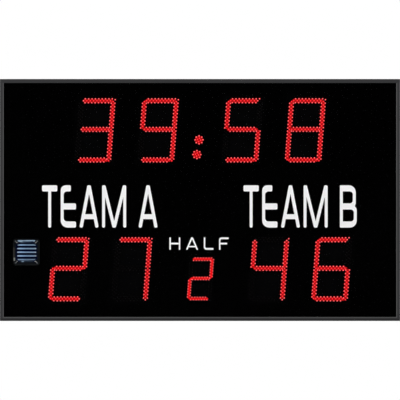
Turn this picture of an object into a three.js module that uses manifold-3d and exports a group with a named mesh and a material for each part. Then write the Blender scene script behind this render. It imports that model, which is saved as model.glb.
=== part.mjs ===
// Wall-hung electronic scoreboard: a slim aluminium case with a smoked window, ten LED
// display boards on cross rails, a horn behind a louvred bezel, and a connector bay
// underneath that a hinged flap closes. Millimetres, +Z up. The board faces -Y and hangs on
// a wall rail, and the centre of that rail's back face is the origin.
import * as THREE from 'three';
import { mergeVertices } from 'three/addons/utils/BufferGeometryUtils.js';
import Module from 'manifold-3d';

const wasm = await Module();
wasm.setup();

// Fits shared by every piece
const CLEARANCE = 0.3;
const OVERRUN = 2;
const ARC_STEPS = 4;
const SQUARE_SIDES = 4;
const SMALL_ROUND_SIDES = 8;
const ROUND_SIDES = 12;
const LARGE_ROUND_SIDES = 24;

// The board as a whole
const BOARD_WIDTH = 1500;
const BOARD_HEIGHT = 906;
const BOARD_DEPTH = 90;
const WALL_STANDOFF = 22;
const WALL_RAIL_INSET = 153;

// Frame extrusion, mitred at the corners
const WALL = 2.5;
const FRAME_FACE = 15;
const FRAME_EDGE_RADIUS = 3;
const BEAD_WIDTH = 3;
const BEAD_DROP = 1.2;
const RIB = 2;
const WINDOW_RIB_REACH = 13;
const RAIL_RIB_REACH = 22;
const REAR_FLANGE_REACH = 24;
const CLEAT_ARM = 80;
const CLEAT_THICKNESS = 8;
const CLEAT_DEPTH = 36;

// Window and its gasket
const WINDOW_THICKNESS = 4;
const GASKET_LEG = 1;
const GASKET_WEB = 2;

// Display boards
const SLANT_DEGREES = 4.4;
const LED_AIR_GAP = 4;
const LED_DOME_HEIGHT = 6;
const LED_BAR_HEIGHT = 3;
const CIRCUIT_BOARD = 2;
const BOARD_POST_LENGTH = 9;
const BOARD_POST_RADIUS = 4;
const BOARD_POST_INSET = 10;
const SEGMENT_GAP = 1.5;
const LARGE_DIGIT = {
  columnSpacing: 119.2, upperRise: 107.3, lowerRise: 114.7, shift: 0.6,
  barWidth: 22, boardWidth: 185, boardHeight: 270,
};
const SMALL_DIGIT = {
  columnSpacing: 77.6, upperRise: 72.5, lowerRise: 76, shift: 1.7,
  barWidth: 17, boardWidth: 132, boardHeight: 184,
};
const PERIOD_SINK = 34.7;
const RAIL_SPREAD = 240;

// How much of the room in half a row lies at its edge and within its pair of digits
const CLOCK_EDGE_SHARE = 0.7811;
const CLOCK_PAIR_SHARE = 0.1509;
const SCORE_EDGE_SHARE = 0.0884;
const SCORE_PAIR_SHARE = 0.311;
const ROW_EDGE_SHARE = 0.3115;

// Colon board between the clock pairs
const COLON_BOARD_WIDTH = 84;
const COLON_CLUSTER_RADIUS = 22;
const COLON_UPPER = { x: -3.7, drop: 35.6 };
const COLON_LOWER = { x: -11.6, drop: 90.7 };

// Cross rails that carry the display boards, and the bracket for the small digit
const RAIL_HEIGHT = 30;
const RAIL_DEPTH = 6;
const RAIL_SHEET = 2;
const BRACKET_WIDTH = 132;
const BRACKET_BORDER = 20;

// Horn
const HORN_EDGE_INSET = 100;
const HORN_RISE = 66;
const BEZEL_SIZE = 100;
const BEZEL_RADIUS = 10;
const BEZEL_PROUD = 2;
const SLEEVE_SIZE = 86;
const SLEEVE_CORNER = 14;
const SLEEVE_LENGTH = 7;
const LOUVRE_RING = 3;
const LOUVRE_DEPTH = 9;
const LOUVRE_RECESS = 1;
const SLAT_COUNT = 5;
const SLAT_PITCH = 13.7;
const SLAT_DEPTH = 9;
const SLAT_SHEET = 2.5;
const SLAT_TILT_DEGREES = 40;
const CRESCENT_RISE = 7;
const HORN_SCREW_SPREAD = 81;
const HORN_SCREW_HEAD_RADIUS = 3;
const HORN_SCREW_HEAD_HEIGHT = 1.6;
const HORN_SCREW_RADIUS = 1.6;
const FLANGE_SHEET = 3;
const FLARE_LENGTH = 36;
const FLARE_WALL = 2.5;
const THROAT_HALF = 12;
const DRIVER_RADIUS = 32;
const DRIVER_CAP_RADIUS = 22.4;
const DRIVER_LENGTH = 28;
const DRIVER_STEP = 6;

// Rear panel, its vents and stiffeners
const REAR_SHEET = 2;
const VENT_LENGTH = 80;
const VENT_GAP = 16;
const VENT_HEIGHT = 5;
const VENT_PITCH = 12;
const VENT_ROWS = 5;
const VENT_EDGE_INSET = 250;
const VENT_TOP_INSET = 63;
const VENT_MIDDLE_DROP = 75;
const SLOT_END_STEPS = 4;
const STIFFENER_WIDTH = 40;
const STIFFENER_DEPTH = 20;
const STIFFENER_SHEET = 1.5;

// Wall rail, hanger rail and lower buffers
const HANG_RAIL_INSET = 150;
const HANG_SHEET = 2.5;
const HANG_RAIL_HEIGHT = 60;
const HOOK_FLOOR_RISE = 10;
const HOOK_LIP_HEIGHT = 12.5;
const HOOK_LIP_OFFSET = 8.5;
const HANGER_PLATE_HEIGHT = 50;
const RAIL_SLOT = { length: 24, height: 8, drop: 12, inner: 180, endInset: 80 };
const BUFFER_EDGE_INSET = 200;
const BUFFER_FOOT_INSET = 73;
const BUFFER_RADIUS = 20;
const BUFFER_TIP_RADIUS = 16;

// Connector bay in the underside
const BAY_EDGE_INSET = 250;
const BAY_WIDTH = 200;
const BAY_DEPTH = 40;
const BAY_HEIGHT = 78;
const BAY_SHEET = 1.5;
const BAY_FRONT_DEPTH = 42;
const BAY_FLANGE = 12;
const FLAP_SHEET = 2;
const FLAP_GAP = 0.4;
const FLAP_NOTCH_WIDTH = 32;
const FLAP_NOTCH_DEPTH = 12;
const HINGE_BARREL_RADIUS = 2.4;
const HINGE_PIN_RADIUS = 1;
const HINGE_BORE_RADIUS = 1.3;
const HINGE_PIN_OVERHANG = 0.5;
const HINGE_EAR_DEPTH = 4.8;
const CATCH_SIZE = { x: 24, y: 6, z: 7 };
const CATCH_OFFSET = 50;

// Devices on the roof of the bay
const DEVICE_FLANGE = 2;
const INLET = {
  x: -62, flangeX: 50, flangeY: 34, bodyX: 40, bodyY: 31, bodyZ: 26,
  socketX: 24.5, socketY: 17, socketDepth: 18, socketShift: -6, pinX: 2, pinY: 5, pinZ: 14,
  pinSpacing: 7, pinStagger: 3,
};
const DRAWER = {
  x: 22, y: 9, z: 24, shift: 10.5, faceX: 25, faceY: 11, faceZ: 2,
  pocketX: 19, pocketZ: 6, pocketY: 5, pocketInset: 5,
};
const SWITCH = {
  x: -8, flangeX: 32, flangeY: 25, bodyX: 28.6, bodyY: 21, bodyZ: 16, cavityX: 25.8, cavityY: 16.6,
};
const ROCKER = {
  halfLength: 11.6, width: 16, crease: 4.2, shoulder: 11, waist: 4, foot: 5,
  pivotInset: 4, axleRadius: 1.5, axleBore: 1.8, axleReach: 1.2, cavityDepth: 11,
};
const ROCKER_TILT_DEGREES = 10;
const SOCKET = {
  x: 36, flangeX: 26, flangeY: 28, bodyX: 20, bodyY: 20, bodyZ: 20,
  mouthX: 12, mouthY: 9.5, mouthDepth: 15, keyX: 6, keyY: 2.5,
};
const BUTTON = {
  x: 72, flangeRadius: 8, bodyRadius: 5.7, bodyZ: 14,
  radius: 4, bore: 4.3, proud: 2.5, length: 7, travel: 1.8,
};

// Electronics behind the display boards
const SUPPLY = { width: 215, height: 115, depth: 30, terminalX: 14, terminalZ: 90, terminalY: 16 };
const CONTROLLER = {
  width: 240, height: 150, depth: 70, postRadius: 4, postInset: 10,
  plugX: 40, plugZ: 10, plugY: 10, plugInset: 7, headerX: 16, sinkX: 50, sinkZ: 40, sinkY: 8,
};
const LEAD_HEADERS = { horn: -100, data: 40, power: 100 };
const RADIO = { width: 74, height: 50, depth: 20, aerialRadius: 4, aerialLength: 90, aerialInset: 12 };

// Leads and ribbons
const LEAD_SIDES = 8;
const LEAD_STUB = 16;
const LOOM_DEPTH = 48;
const LOOM_SAG = 25;
const LEAD_STEPS = 22;
const MAINS_LEAD = 7;
const MAINS_LEAD_RUN = 60.4;
const POWER_LEAD = 6;
const SIGNAL_LEAD = 5;
const RIBBON = { thickness: 1, height: 20, dropWidth: 24, endReach: 46.5, standoff: 2.6 };
const RIBBON_STRAIGHT_SHARE = 0.2;
const RIBBON_BEND_SHARE = 0.55;

// Depths behind the front face, worked out from the stack of pieces
const gasketFront = WALL + CLEARANCE;
const windowFront = gasketFront + GASKET_LEG + CLEARANCE;
const windowBack = windowFront + WINDOW_THICKNESS;
const gasketBack = windowBack + CLEARANCE + GASKET_LEG;
const windowRibFront = gasketBack + CLEARANCE;
const barFront = windowBack + LED_AIR_GAP + LED_DOME_HEIGHT;
const circuitFront = barFront + LED_BAR_HEIGHT;
const circuitBack = circuitFront + CIRCUIT_BOARD;
const railFront = circuitBack + BOARD_POST_LENGTH + CLEARANCE;
const railBack = railFront + RAIL_DEPTH;
const railRibBack = railFront - CLEARANCE;
const rearPanelFront = BOARD_DEPTH - REAR_SHEET;
const rearFlangeBack = rearPanelFront - CLEARANCE;
const hangerFront = BOARD_DEPTH + CLEARANCE;
const wallPlane = BOARD_DEPTH + WALL_STANDOFF;

// Places on the face, worked out from the driving sizes
const insideHalfWidth = BOARD_WIDTH / 2 - WALL - CLEARANCE;
const insideHalfHeight = BOARD_HEIGHT / 2 - WALL - CLEARANCE;
const slant = Math.tan(THREE.MathUtils.degToRad(SLANT_DEGREES));
const wallRailRise = BOARD_HEIGHT / 2 - WALL_RAIL_INSET;
const hangRailLength = BOARD_WIDTH - 2 * HANG_RAIL_INSET;
const rowRise = BOARD_HEIGHT / 2 - LARGE_DIGIT.boardHeight / 2
  - (BOARD_HEIGHT / 2 - LARGE_DIGIT.boardHeight) * ROW_EDGE_SHARE;
const hornX = -BOARD_WIDTH / 2 + HORN_EDGE_INSET;
const hornDrop = rowRise - HORN_RISE;
const periodDrop = rowRise + PERIOD_SINK;
const bayX = BOARD_WIDTH / 2 - BAY_EDGE_INSET;
const bayFloor = -BOARD_HEIGHT / 2 + WALL + CLEARANCE;
const bayRoof = bayFloor + BAY_HEIGHT;
const bayMiddle = BAY_FRONT_DEPTH + BAY_DEPTH / 2;
const bayBackDepth = BAY_FRONT_DEPTH + BAY_DEPTH;
const hingeDepth = bayBackDepth + CLEARANCE;
const hingeHeight = -BOARD_HEIGHT / 2 + FLAP_SHEET / 2;
const deviceFace = bayRoof - CLEARANCE - DEVICE_FLANGE;
const inletTop = deviceFace + INLET.bodyZ + CLEARANCE;
const supplyFloor = inletTop + MAINS_LEAD_RUN;
const supplyRise = supplyFloor + CLEARANCE + SUPPLY.height / 2;
const supplyBack = rearPanelFront - CLEARANCE;
const supplyLeft = bayX - SUPPLY.width / 2;

// The places of a row's four boards, with what stands at its edge and in its middle
function rowPlaces(edge, middle, edgeShare, pairShare) {
  const room = BOARD_WIDTH / 2 - edge - 2 * LARGE_DIGIT.boardWidth - middle;
  const outer = BOARD_WIDTH / 2 - edge - room * edgeShare - LARGE_DIGIT.boardWidth / 2;
  const inner = outer - LARGE_DIGIT.boardWidth - room * pairShare;
  return [-outer, -inner, inner, outer];
}

const hornReach = HORN_EDGE_INSET + BEZEL_SIZE / 2;
const clockPlaces = rowPlaces(0, COLON_BOARD_WIDTH / 2, CLOCK_EDGE_SHARE, CLOCK_PAIR_SHARE);
const scorePlaces = rowPlaces(hornReach, BRACKET_WIDTH / 2, SCORE_EDGE_SHARE, SCORE_PAIR_SHARE);

// Solids from geometries, and back
function toSolid(geometry) {
  const bare = geometry.clone();
  bare.deleteAttribute('normal');
  bare.deleteAttribute('uv');
  const merged = mergeVertices(bare);
  return new wasm.Manifold(new wasm.Mesh({
    numProp: 3,
    vertProperties: Float32Array.from(merged.attributes.position.array),
    triVerts: Uint32Array.from(merged.index.array),
  }));
}

function toGeometry(solid) {
  const mesh = solid.getMesh();
  const geometry = new THREE.BufferGeometry();
  geometry.setAttribute('position', new THREE.BufferAttribute(mesh.vertProperties, 3));
  geometry.setIndex(new THREE.BufferAttribute(mesh.triVerts, 1));
  geometry.computeVertexNormals();
  return geometry;
}

function join(...pieces) {
  return toGeometry(pieces.map(toSolid).reduce((whole, piece) => whole.add(piece)));
}

function cut(base, ...tools) {
  return toGeometry(tools.map(toSolid).reduce((whole, tool) => whole.subtract(tool), toSolid(base)));
}

function overlap(first, second) {
  return toGeometry(toSolid(first).intersect(toSolid(second)));
}

// Simple forms, each given by the spans that it fills
function around(center, size) {
  return [center - size / 2, center + size / 2];
}

function beyond(span, extra = OVERRUN) {
  return [span[0] - extra, span[1] + extra];
}

function block(x, y, z) {
  const geometry = new THREE.BoxGeometry(x[1] - x[0], y[1] - y[0], z[1] - z[0]);
  return geometry.translate((x[0] + x[1]) / 2, (y[0] + y[1]) / 2, (z[0] + z[1]) / 2);
}

// An outline in X and Z that fills a span of depth
function plate(shape, y) {
  const geometry = new THREE.ExtrudeGeometry(shape, {
    depth: y[1] - y[0], bevelEnabled: false, curveSegments: ARC_STEPS,
  });
  return geometry.rotateX(Math.PI / 2).translate(0, y[1], 0);
}

// An outline in Y and Z that fills a span along X
function profile(shape, x) {
  const geometry = new THREE.ExtrudeGeometry(shape, {
    depth: x[1] - x[0], bevelEnabled: false, curveSegments: ARC_STEPS,
  });
  const turn = new THREE.Matrix4().makeBasis(
    new THREE.Vector3(0, 1, 0), new THREE.Vector3(0, 0, 1), new THREE.Vector3(1, 0, 0),
  );
  return geometry.applyMatrix4(turn).translate(x[0], 0, 0);
}

function outline(points) {
  return new THREE.Shape(points.map(([a, b]) => new THREE.Vector2(a, b)));
}

function rodAlong(axis, radius, span, [a, b], sides = ROUND_SIDES, endRadius = radius) {
  const geometry = new THREE.CylinderGeometry(endRadius, radius, span[1] - span[0], sides);
  geometry.translate(0, (span[0] + span[1]) / 2, 0);
  if (axis === 'x') return geometry.rotateZ(-Math.PI / 2).translate(0, a, b);
  if (axis === 'z') return geometry.rotateX(Math.PI / 2).translate(a, b, 0);
  return geometry.translate(a, 0, b);
}

function roundedOutline(target, x, z, radius) {
  target.moveTo(x[0] + radius, z[0]);
  target.lineTo(x[1] - radius, z[0]);
  target.absarc(x[1] - radius, z[0] + radius, radius, -Math.PI / 2, 0, false);
  target.lineTo(x[1], z[1] - radius);
  target.absarc(x[1] - radius, z[1] - radius, radius, 0, Math.PI / 2, false);
  target.lineTo(x[0] + radius, z[1]);
  target.absarc(x[0] + radius, z[1] - radius, radius, Math.PI / 2, Math.PI, false);
  target.lineTo(x[0], z[0] + radius);
  target.absarc(x[0] + radius, z[0] + radius, radius, Math.PI, Math.PI * 1.5, false);
  return target;
}

function chamferedSquare(half, corner) {
  const flat = half - corner;
  return outline([
    [-flat, -half], [flat, -half], [half, -flat], [half, flat],
    [flat, half], [-flat, half], [-half, flat], [-half, -flat],
  ]);
}

// The model: every piece is a named mesh in the board's own group
const scoreboard = new THREE.Group();
const board = new THREE.Group();
board.position.set(0, -wallPlane, -wallRailRise);
scoreboard.add(board);

// Colour, roughness and metalness, with opacity where light shows through
const FINISHES = {
  frame: [0x363638, 0.45, 0.6],
  window: [0x050507, 0.12, 0, 0.6],
  rubber: [0x161616, 0.9, 0],
  circuit: [0x0b0c0b, 0.6, 0],
  zinc: [0xa9adb0, 0.4, 0.9],
  aluminium: [0xb8bbbe, 0.35, 0.9],
  blackPlastic: [0x121214, 0.45, 0],
  louvre: [0x5d7390, 0.3, 0.5],
  steel: [0xc4c7ca, 0.25, 1],
  greenBoard: [0x14502e, 0.5, 0],
  greyPlastic: [0x6a6d70, 0.5, 0],
  red: [0xb01218, 0.35, 0],
  lead: [0x18181a, 0.6, 0],
  ribbon: [0x8d9094, 0.7, 0],
};

function add(name, geometry, finish) {
  const [color, roughness, metalness, opacity = 1] = FINISHES[finish];
  const mesh = new THREE.Mesh(geometry, new THREE.MeshStandardMaterial({
    color, roughness, metalness, opacity, transparent: opacity < 1,
  }));
  mesh.name = name;
  board.add(mesh);
  return mesh;
}

// Frame: one section, cut to length with mitred ends
function frameSection() {
  const shape = new THREE.Shape();
  shape.moveTo(0, FRAME_EDGE_RADIUS);
  shape.absarc(FRAME_EDGE_RADIUS, FRAME_EDGE_RADIUS, FRAME_EDGE_RADIUS, Math.PI, Math.PI * 1.5, false);
  shape.lineTo(FRAME_FACE - BEAD_WIDTH, 0);
  shape.lineTo(FRAME_FACE, BEAD_DROP);
  shape.lineTo(FRAME_FACE, WALL);
  shape.lineTo(WALL, WALL);
  const ribs = [
    [WINDOW_RIB_REACH, windowRibFront],
    [RAIL_RIB_REACH, railRibBack - RIB],
    [REAR_FLANGE_REACH, rearFlangeBack - RIB],
  ];
  for (const [reach, front] of ribs) {
    shape.lineTo(WALL, front);
    shape.lineTo(reach, front);
    shape.lineTo(reach, front + RIB);
    shape.lineTo(WALL, front + RIB);
  }
  shape.lineTo(WALL, BOARD_DEPTH);
  shape.lineTo(0, BOARD_DEPTH);
  return shape;
}

function mitredBar(length) {
  const setback = CLEARANCE / Math.SQRT2;
  const geometry = new THREE.ExtrudeGeometry(frameSection(), {
    depth: 1, bevelEnabled: false, curveSegments: ARC_STEPS,
  });
  const points = geometry.attributes.position;
  for (let i = 0; i < points.count; i += 1) {
    const inward = points.getX(i);
    const side = points.getZ(i) * 2 - 1;
    points.setXYZ(i, side * (length / 2 - inward - setback), points.getY(i), -inward);
  }
  return geometry;
}

function addFrame() {
  const top = mitredBar(BOARD_WIDTH).translate(0, 0, BOARD_HEIGHT / 2);
  const bottom = mitredBar(BOARD_WIDTH).rotateY(Math.PI).translate(0, 0, -BOARD_HEIGHT / 2);
  const right = mitredBar(BOARD_HEIGHT).rotateY(Math.PI / 2).translate(BOARD_WIDTH / 2, 0, 0);
  const left = mitredBar(BOARD_HEIGHT).rotateY(-Math.PI / 2).translate(-BOARD_WIDTH / 2, 0, 0);
  const bayMouth = block(
    around(bayX, BAY_WIDTH + 2 * (BAY_SHEET + HINGE_PIN_OVERHANG + FLAP_GAP)),
    [BAY_FRONT_DEPTH - CLEARANCE, hingeDepth + HINGE_BARREL_RADIUS + FLAP_GAP],
    [-BOARD_HEIGHT / 2 - OVERRUN, -BOARD_HEIGHT / 2 + WALL + FLAP_GAP],
  );
  add('frame_top', top, 'frame');
  add('frame_bottom', cut(bottom, bayMouth), 'frame');
  add('frame_right', right, 'frame');
  add('frame_left', left, 'frame');
}

function addCornerCleats() {
  const middle = (railBack + rearFlangeBack - RIB) / 2;
  for (const [sideName, sx] of [['left', -1], ['right', 1]]) {
    for (const [endName, sz] of [['top', 1], ['bottom', -1]]) {
      const x = sx * insideHalfWidth;
      const z = sz * insideHalfHeight;
      const shape = outline([
        [x, z],
        [x - sx * CLEAT_ARM, z],
        [x - sx * CLEAT_ARM, z - sz * CLEAT_THICKNESS],
        [x - sx * CLEAT_THICKNESS, z - sz * CLEAT_THICKNESS],
        [x - sx * CLEAT_THICKNESS, z - sz * CLEAT_ARM],
        [x, z - sz * CLEAT_ARM],
      ]);
      add(`corner_cleat_${endName}_${sideName}`, plate(shape, around(middle, CLEAT_DEPTH)), 'zinc');
    }
  }
}

// Window: a pane with the horn's hole, held by a channel gasket
function addWindow() {
  const inset = GASKET_WEB + CLEARANCE;
  const paneX = [-insideHalfWidth + inset, insideHalfWidth - inset];
  const paneZ = [-insideHalfHeight + inset, insideHalfHeight - inset];
  const pane = roundedOutline(new THREE.Shape(), paneX, paneZ, FRAME_EDGE_RADIUS);
  const hole = SLEEVE_SIZE + 2 * CLEARANCE;
  pane.holes.push(roundedOutline(
    new THREE.Path(), around(hornX, hole), around(-hornDrop, hole), FRAME_EDGE_RADIUS,
  ));
  add('front_window', plate(pane, [windowFront, windowBack]), 'window');

  const outer = [[-insideHalfWidth, insideHalfWidth], [-insideHalfHeight, insideHalfHeight]];
  const sight = [
    around(0, BOARD_WIDTH - 2 * WINDOW_RIB_REACH), around(0, BOARD_HEIGHT - 2 * WINDOW_RIB_REACH),
  ];
  const groove = [beyond(paneX, CLEARANCE), beyond(paneZ, CLEARANCE)];
  const gasket = cut(
    block(outer[0], [gasketFront, gasketBack], outer[1]),
    block(sight[0], beyond([gasketFront, gasketBack]), sight[1]),
    block(groove[0], [windowFront - CLEARANCE, windowBack + CLEARANCE], groove[1]),
  );
  add('window_gasket', gasket, 'rubber');
}

// Display boards: a circuit board with raised segment bars and four posts
function segmentBar(length, width, upright, [x, z]) {
  const half = length / 2;
  const arm = width / 2;
  const along = [
    [-half, 0], [-half + arm, arm], [half - arm, arm], [half, 0], [half - arm, -arm], [-half + arm, -arm],
  ];
  const placed = along.map(([a, b]) => (upright ? [x + b, z + a] : [x + a, z + b]));
  return outline(placed.map(([px, pz]) => [px + pz * slant, pz]));
}

function digitSegments(digit) {
  const { columnSpacing, upperRise, lowerRise, shift, barWidth } = digit;
  const top = (upperRise + lowerRise) / 2;
  const middle = top - upperRise;
  const column = columnSpacing / 2;
  const across = columnSpacing - SEGMENT_GAP;
  const upper = upperRise - SEGMENT_GAP;
  const lower = lowerRise - SEGMENT_GAP;
  const bars = [];
  for (const z of [top, middle, -top]) bars.push(segmentBar(across, barWidth, false, [shift, z]));
  for (const x of [shift - column, shift + column]) {
    bars.push(segmentBar(upper, barWidth, true, [x, (top + middle) / 2]));
    bars.push(segmentBar(lower, barWidth, true, [x, (middle - top) / 2]));
  }
  return bars;
}

function displayBoard({ boardWidth, boardHeight, bars, postX, postZ, postLength }) {
  const pieces = [block(around(0, boardWidth), [circuitFront, circuitBack], around(0, boardHeight))];
  for (const bar of bars) pieces.push(plate(bar, [barFront, circuitFront + CIRCUIT_BOARD / 2]));
  for (const x of [-postX, postX]) {
    for (const z of [-postZ, postZ]) {
      const span = [circuitBack - CIRCUIT_BOARD / 2, circuitBack + postLength];
      pieces.push(rodAlong('y', BOARD_POST_RADIUS, span, [x, z]));
    }
  }
  return join(...pieces);
}

function disc(radius, [x, z]) {
  const shape = new THREE.Shape();
  shape.absarc(x, z, radius, 0, Math.PI * 2, false);
  return shape;
}

function addDisplayBoards() {
  const large = displayBoard({
    ...LARGE_DIGIT, bars: digitSegments(LARGE_DIGIT), postLength: BOARD_POST_LENGTH,
    postX: LARGE_DIGIT.boardWidth / 2 - BOARD_POST_INSET, postZ: RAIL_SPREAD / 2,
  });
  const rows = [
    ['clock', clockPlaces, rowRise, ['ten_minutes', 'minutes', 'ten_seconds', 'seconds']],
    ['score', scorePlaces, -rowRise, ['left_tens', 'left_units', 'right_tens', 'right_units']],
  ];
  for (const [row, places, rise, names] of rows) {
    names.forEach((name, i) => {
      add(`${row}_digit_${name}`, large.clone(), 'circuit').position.set(places[i], 0, rise);
    });
  }
  const colonBars = [COLON_UPPER, COLON_LOWER].map(({ x, drop }) => disc(COLON_CLUSTER_RADIUS, [x, -drop]));
  add('clock_colon', displayBoard({
    boardWidth: COLON_BOARD_WIDTH, boardHeight: LARGE_DIGIT.boardHeight, bars: colonBars,
    postX: COLON_BOARD_WIDTH / 2 - BOARD_POST_INSET, postZ: RAIL_SPREAD / 2, postLength: BOARD_POST_LENGTH,
  }), 'circuit').position.set(0, 0, rowRise);

  const bracket = [railFront - CLEARANCE - RAIL_SHEET, railFront - CLEARANCE];
  add('period_digit', displayBoard({
    ...SMALL_DIGIT, bars: digitSegments(SMALL_DIGIT),
    postX: BRACKET_WIDTH / 2 - BRACKET_BORDER / 2, postZ: SMALL_DIGIT.boardHeight / 2 - BOARD_POST_INSET,
    postLength: bracket[0] - CLEARANCE - circuitBack,
  }), 'circuit').position.set(0, 0, -periodDrop);
  const bracketX = around(0, BRACKET_WIDTH);
  const bracketZ = around(-rowRise, RAIL_SPREAD + RAIL_HEIGHT);
  const ladder = cut(
    block(bracketX, bracket, bracketZ),
    block(beyond(bracketX, -BRACKET_BORDER), beyond(bracket), beyond(bracketZ, -RAIL_HEIGHT)),
  );
  add('period_bracket', ladder, 'zinc');
}

// Cross rails: shallow channels, open to the back
function addRails() {
  const half = RAIL_HEIGHT / 2;
  const channel = outline([
    [railFront, -half], [railBack, -half], [railBack, -half + RAIL_SHEET],
    [railFront + RAIL_SHEET, -half + RAIL_SHEET], [railFront + RAIL_SHEET, half - RAIL_SHEET],
    [railBack, half - RAIL_SHEET], [railBack, half], [railFront, half],
  ]);
  const rail = profile(channel, [-insideHalfWidth, insideHalfWidth]);
  for (const [row, rise] of [['clock', rowRise], ['score', -rowRise]]) {
    for (const [edge, side] of [['upper', 1], ['lower', -1]]) {
      add(`${row}_rail_${edge}`, rail.clone(), 'aluminium').position.z = rise + side * RAIL_SPREAD / 2;
    }
  }
}

// Horn: bezel and sleeve through the window, louvre insert, flare and driver behind
function hornScrewHoles(span) {
  const half = HORN_SCREW_SPREAD / 2;
  const radius = HORN_SCREW_RADIUS + CLEARANCE;
  return [[-half, -half], [half, -half], [-half, half], [half, half]].map(
    (spot) => rodAlong('y', radius, beyond(span), spot, SMALL_ROUND_SIDES),
  );
}

function hornBezel() {
  const sleeve = chamferedSquare(SLEEVE_SIZE / 2, SLEEVE_CORNER);
  const opening = chamferedSquare(SLEEVE_SIZE / 2 - LOUVRE_RING, SLEEVE_CORNER);
  const face = [-BEZEL_PROUD, windowFront - CLEARANCE];
  const rim = roundedOutline(
    new THREE.Shape(), around(0, BEZEL_SIZE), around(0, BEZEL_SIZE), BEZEL_RADIUS,
  );
  const body = join(plate(rim, face), plate(sleeve, [0, face[1] + SLEEVE_LENGTH]));
  return cut(body, plate(opening, beyond([face[0], face[1] + SLEEVE_LENGTH])), ...hornScrewHoles(face));
}

function hornLouvre() {
  const outerHalf = SLEEVE_SIZE / 2 - LOUVRE_RING - CLEARANCE;
  const corner = SLEEVE_CORNER;
  const depth = [LOUVRE_RECESS - BEZEL_PROUD, LOUVRE_RECESS - BEZEL_PROUD + LOUVRE_DEPTH];
  const prism = plate(chamferedSquare(outerHalf, corner), depth);
  const ring = cut(prism, plate(chamferedSquare(outerHalf - LOUVRE_RING, corner), beyond(depth)));
  const tilt = THREE.MathUtils.degToRad(SLAT_TILT_DEGREES);
  const blades = [];
  for (let i = 0; i < SLAT_COUNT; i += 1) {
    const rise = (i - (SLAT_COUNT - 1) / 2) * SLAT_PITCH;
    const blade = block(around(0, outerHalf * 2), around(0, SLAT_DEPTH), around(0, SLAT_SHEET));
    blade.rotateX(tilt).translate(0, (depth[0] + depth[1]) / 2, rise);
    blades.push(overlap(blade, prism));
  }
  const chord = outerHalf - corner / 2;
  for (const side of [-1, 1]) {
    const shape = new THREE.Shape();
    const pull = outerHalf - 2 * (CRESCENT_RISE + LOUVRE_RING);
    shape.moveTo(-chord, side * outerHalf);
    shape.quadraticCurveTo(0, side * pull, chord, side * outerHalf);
    blades.push(overlap(plate(shape, [depth[0], depth[0] + SLAT_SHEET]), prism));
  }
  return join(ring, ...blades);
}

function hornFlare() {
  const mouthFront = windowBack + CLEARANCE;
  const flangeBack = mouthFront + FLANGE_SHEET;
  const mouthHalf = SLEEVE_SIZE / 2 + CLEARANCE;
  const flareBack = flangeBack + FLARE_LENGTH;
  const square = (half, span, backHalf) => {
    const diagonal = Math.SQRT2;
    const pyramid = rodAlong('y', half * diagonal, span, [0, 0], SQUARE_SIDES, backHalf * diagonal);
    return pyramid.rotateY(Math.PI / SQUARE_SIDES);
  };
  const flange = block(around(0, BEZEL_SIZE), [mouthFront, flangeBack], around(0, BEZEL_SIZE));
  const outer = square(mouthHalf + FLARE_WALL, [flangeBack - CLEARANCE, flareBack], THROAT_HALF + FLARE_WALL);
  const seat = rodAlong('y', DRIVER_RADIUS / 2, [flareBack - FLANGE_SHEET, flareBack], [0, 0]);
  const inner = square(mouthHalf, [flangeBack - CLEARANCE, flareBack + CLEARANCE], THROAT_HALF);
  const mouth = block(
    around(0, mouthHalf * 2), beyond([mouthFront, flangeBack], CLEARANCE / 2), around(0, mouthHalf * 2),
  );
  return cut(join(flange, outer, seat), mouth, inner, ...hornScrewHoles([mouthFront, flangeBack]));
}

function hornDriver() {
  const front = windowBack + 2 * CLEARANCE + FLANGE_SHEET + FLARE_LENGTH;
  const back = front + DRIVER_LENGTH;
  return join(
    rodAlong('y', DRIVER_RADIUS, [front, back - DRIVER_STEP], [0, 0], LARGE_ROUND_SIDES),
    rodAlong('y', DRIVER_CAP_RADIUS, [front, back], [0, 0], LARGE_ROUND_SIDES),
  );
}

function hornScrew() {
  const seat = -BEZEL_PROUD - CLEARANCE;
  const tip = windowBack + CLEARANCE + FLANGE_SHEET;
  return join(
    rodAlong('y', HORN_SCREW_HEAD_RADIUS, [seat - HORN_SCREW_HEAD_HEIGHT, seat], [0, 0]),
    rodAlong('y', HORN_SCREW_RADIUS, [seat - HORN_SCREW_HEAD_HEIGHT / 2, tip], [0, 0], SMALL_ROUND_SIDES),
  );
}

function addHorn() {
  const place = (mesh, x = 0, z = 0) => mesh.position.set(hornX + x, 0, z - hornDrop);
  place(add('horn_bezel', hornBezel(), 'blackPlastic'));
  place(add('horn_louvre', hornLouvre(), 'louvre'));
  place(add('horn_flare', hornFlare(), 'blackPlastic'));
  place(add('horn_driver', hornDriver(), 'greyPlastic'));
  const screw = hornScrew();
  for (const [sideName, x] of [['left', -1], ['right', 1]]) {
    for (const [endName, z] of [['top', 1], ['bottom', -1]]) {
      const mesh = add(`horn_screw_${endName}_${sideName}`, screw.clone(), 'steel');
      place(mesh, x * HORN_SCREW_SPREAD / 2, z * HORN_SCREW_SPREAD / 2);
    }
  }
}

// Rear panel with vents, and its two stiffeners
function slot(x, z, length, height) {
  const points = [];
  for (const side of [1, -1]) {
    for (let i = 0; i <= SLOT_END_STEPS; i += 1) {
      const angle = side * (i / SLOT_END_STEPS - 1 / 2) * Math.PI;
      const middle = x + side * (length - height) / 2;
      points.push([middle + side * Math.cos(angle) * height / 2, z + Math.sin(angle) * height / 2]);
    }
  }
  return outline(points);
}

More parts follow.
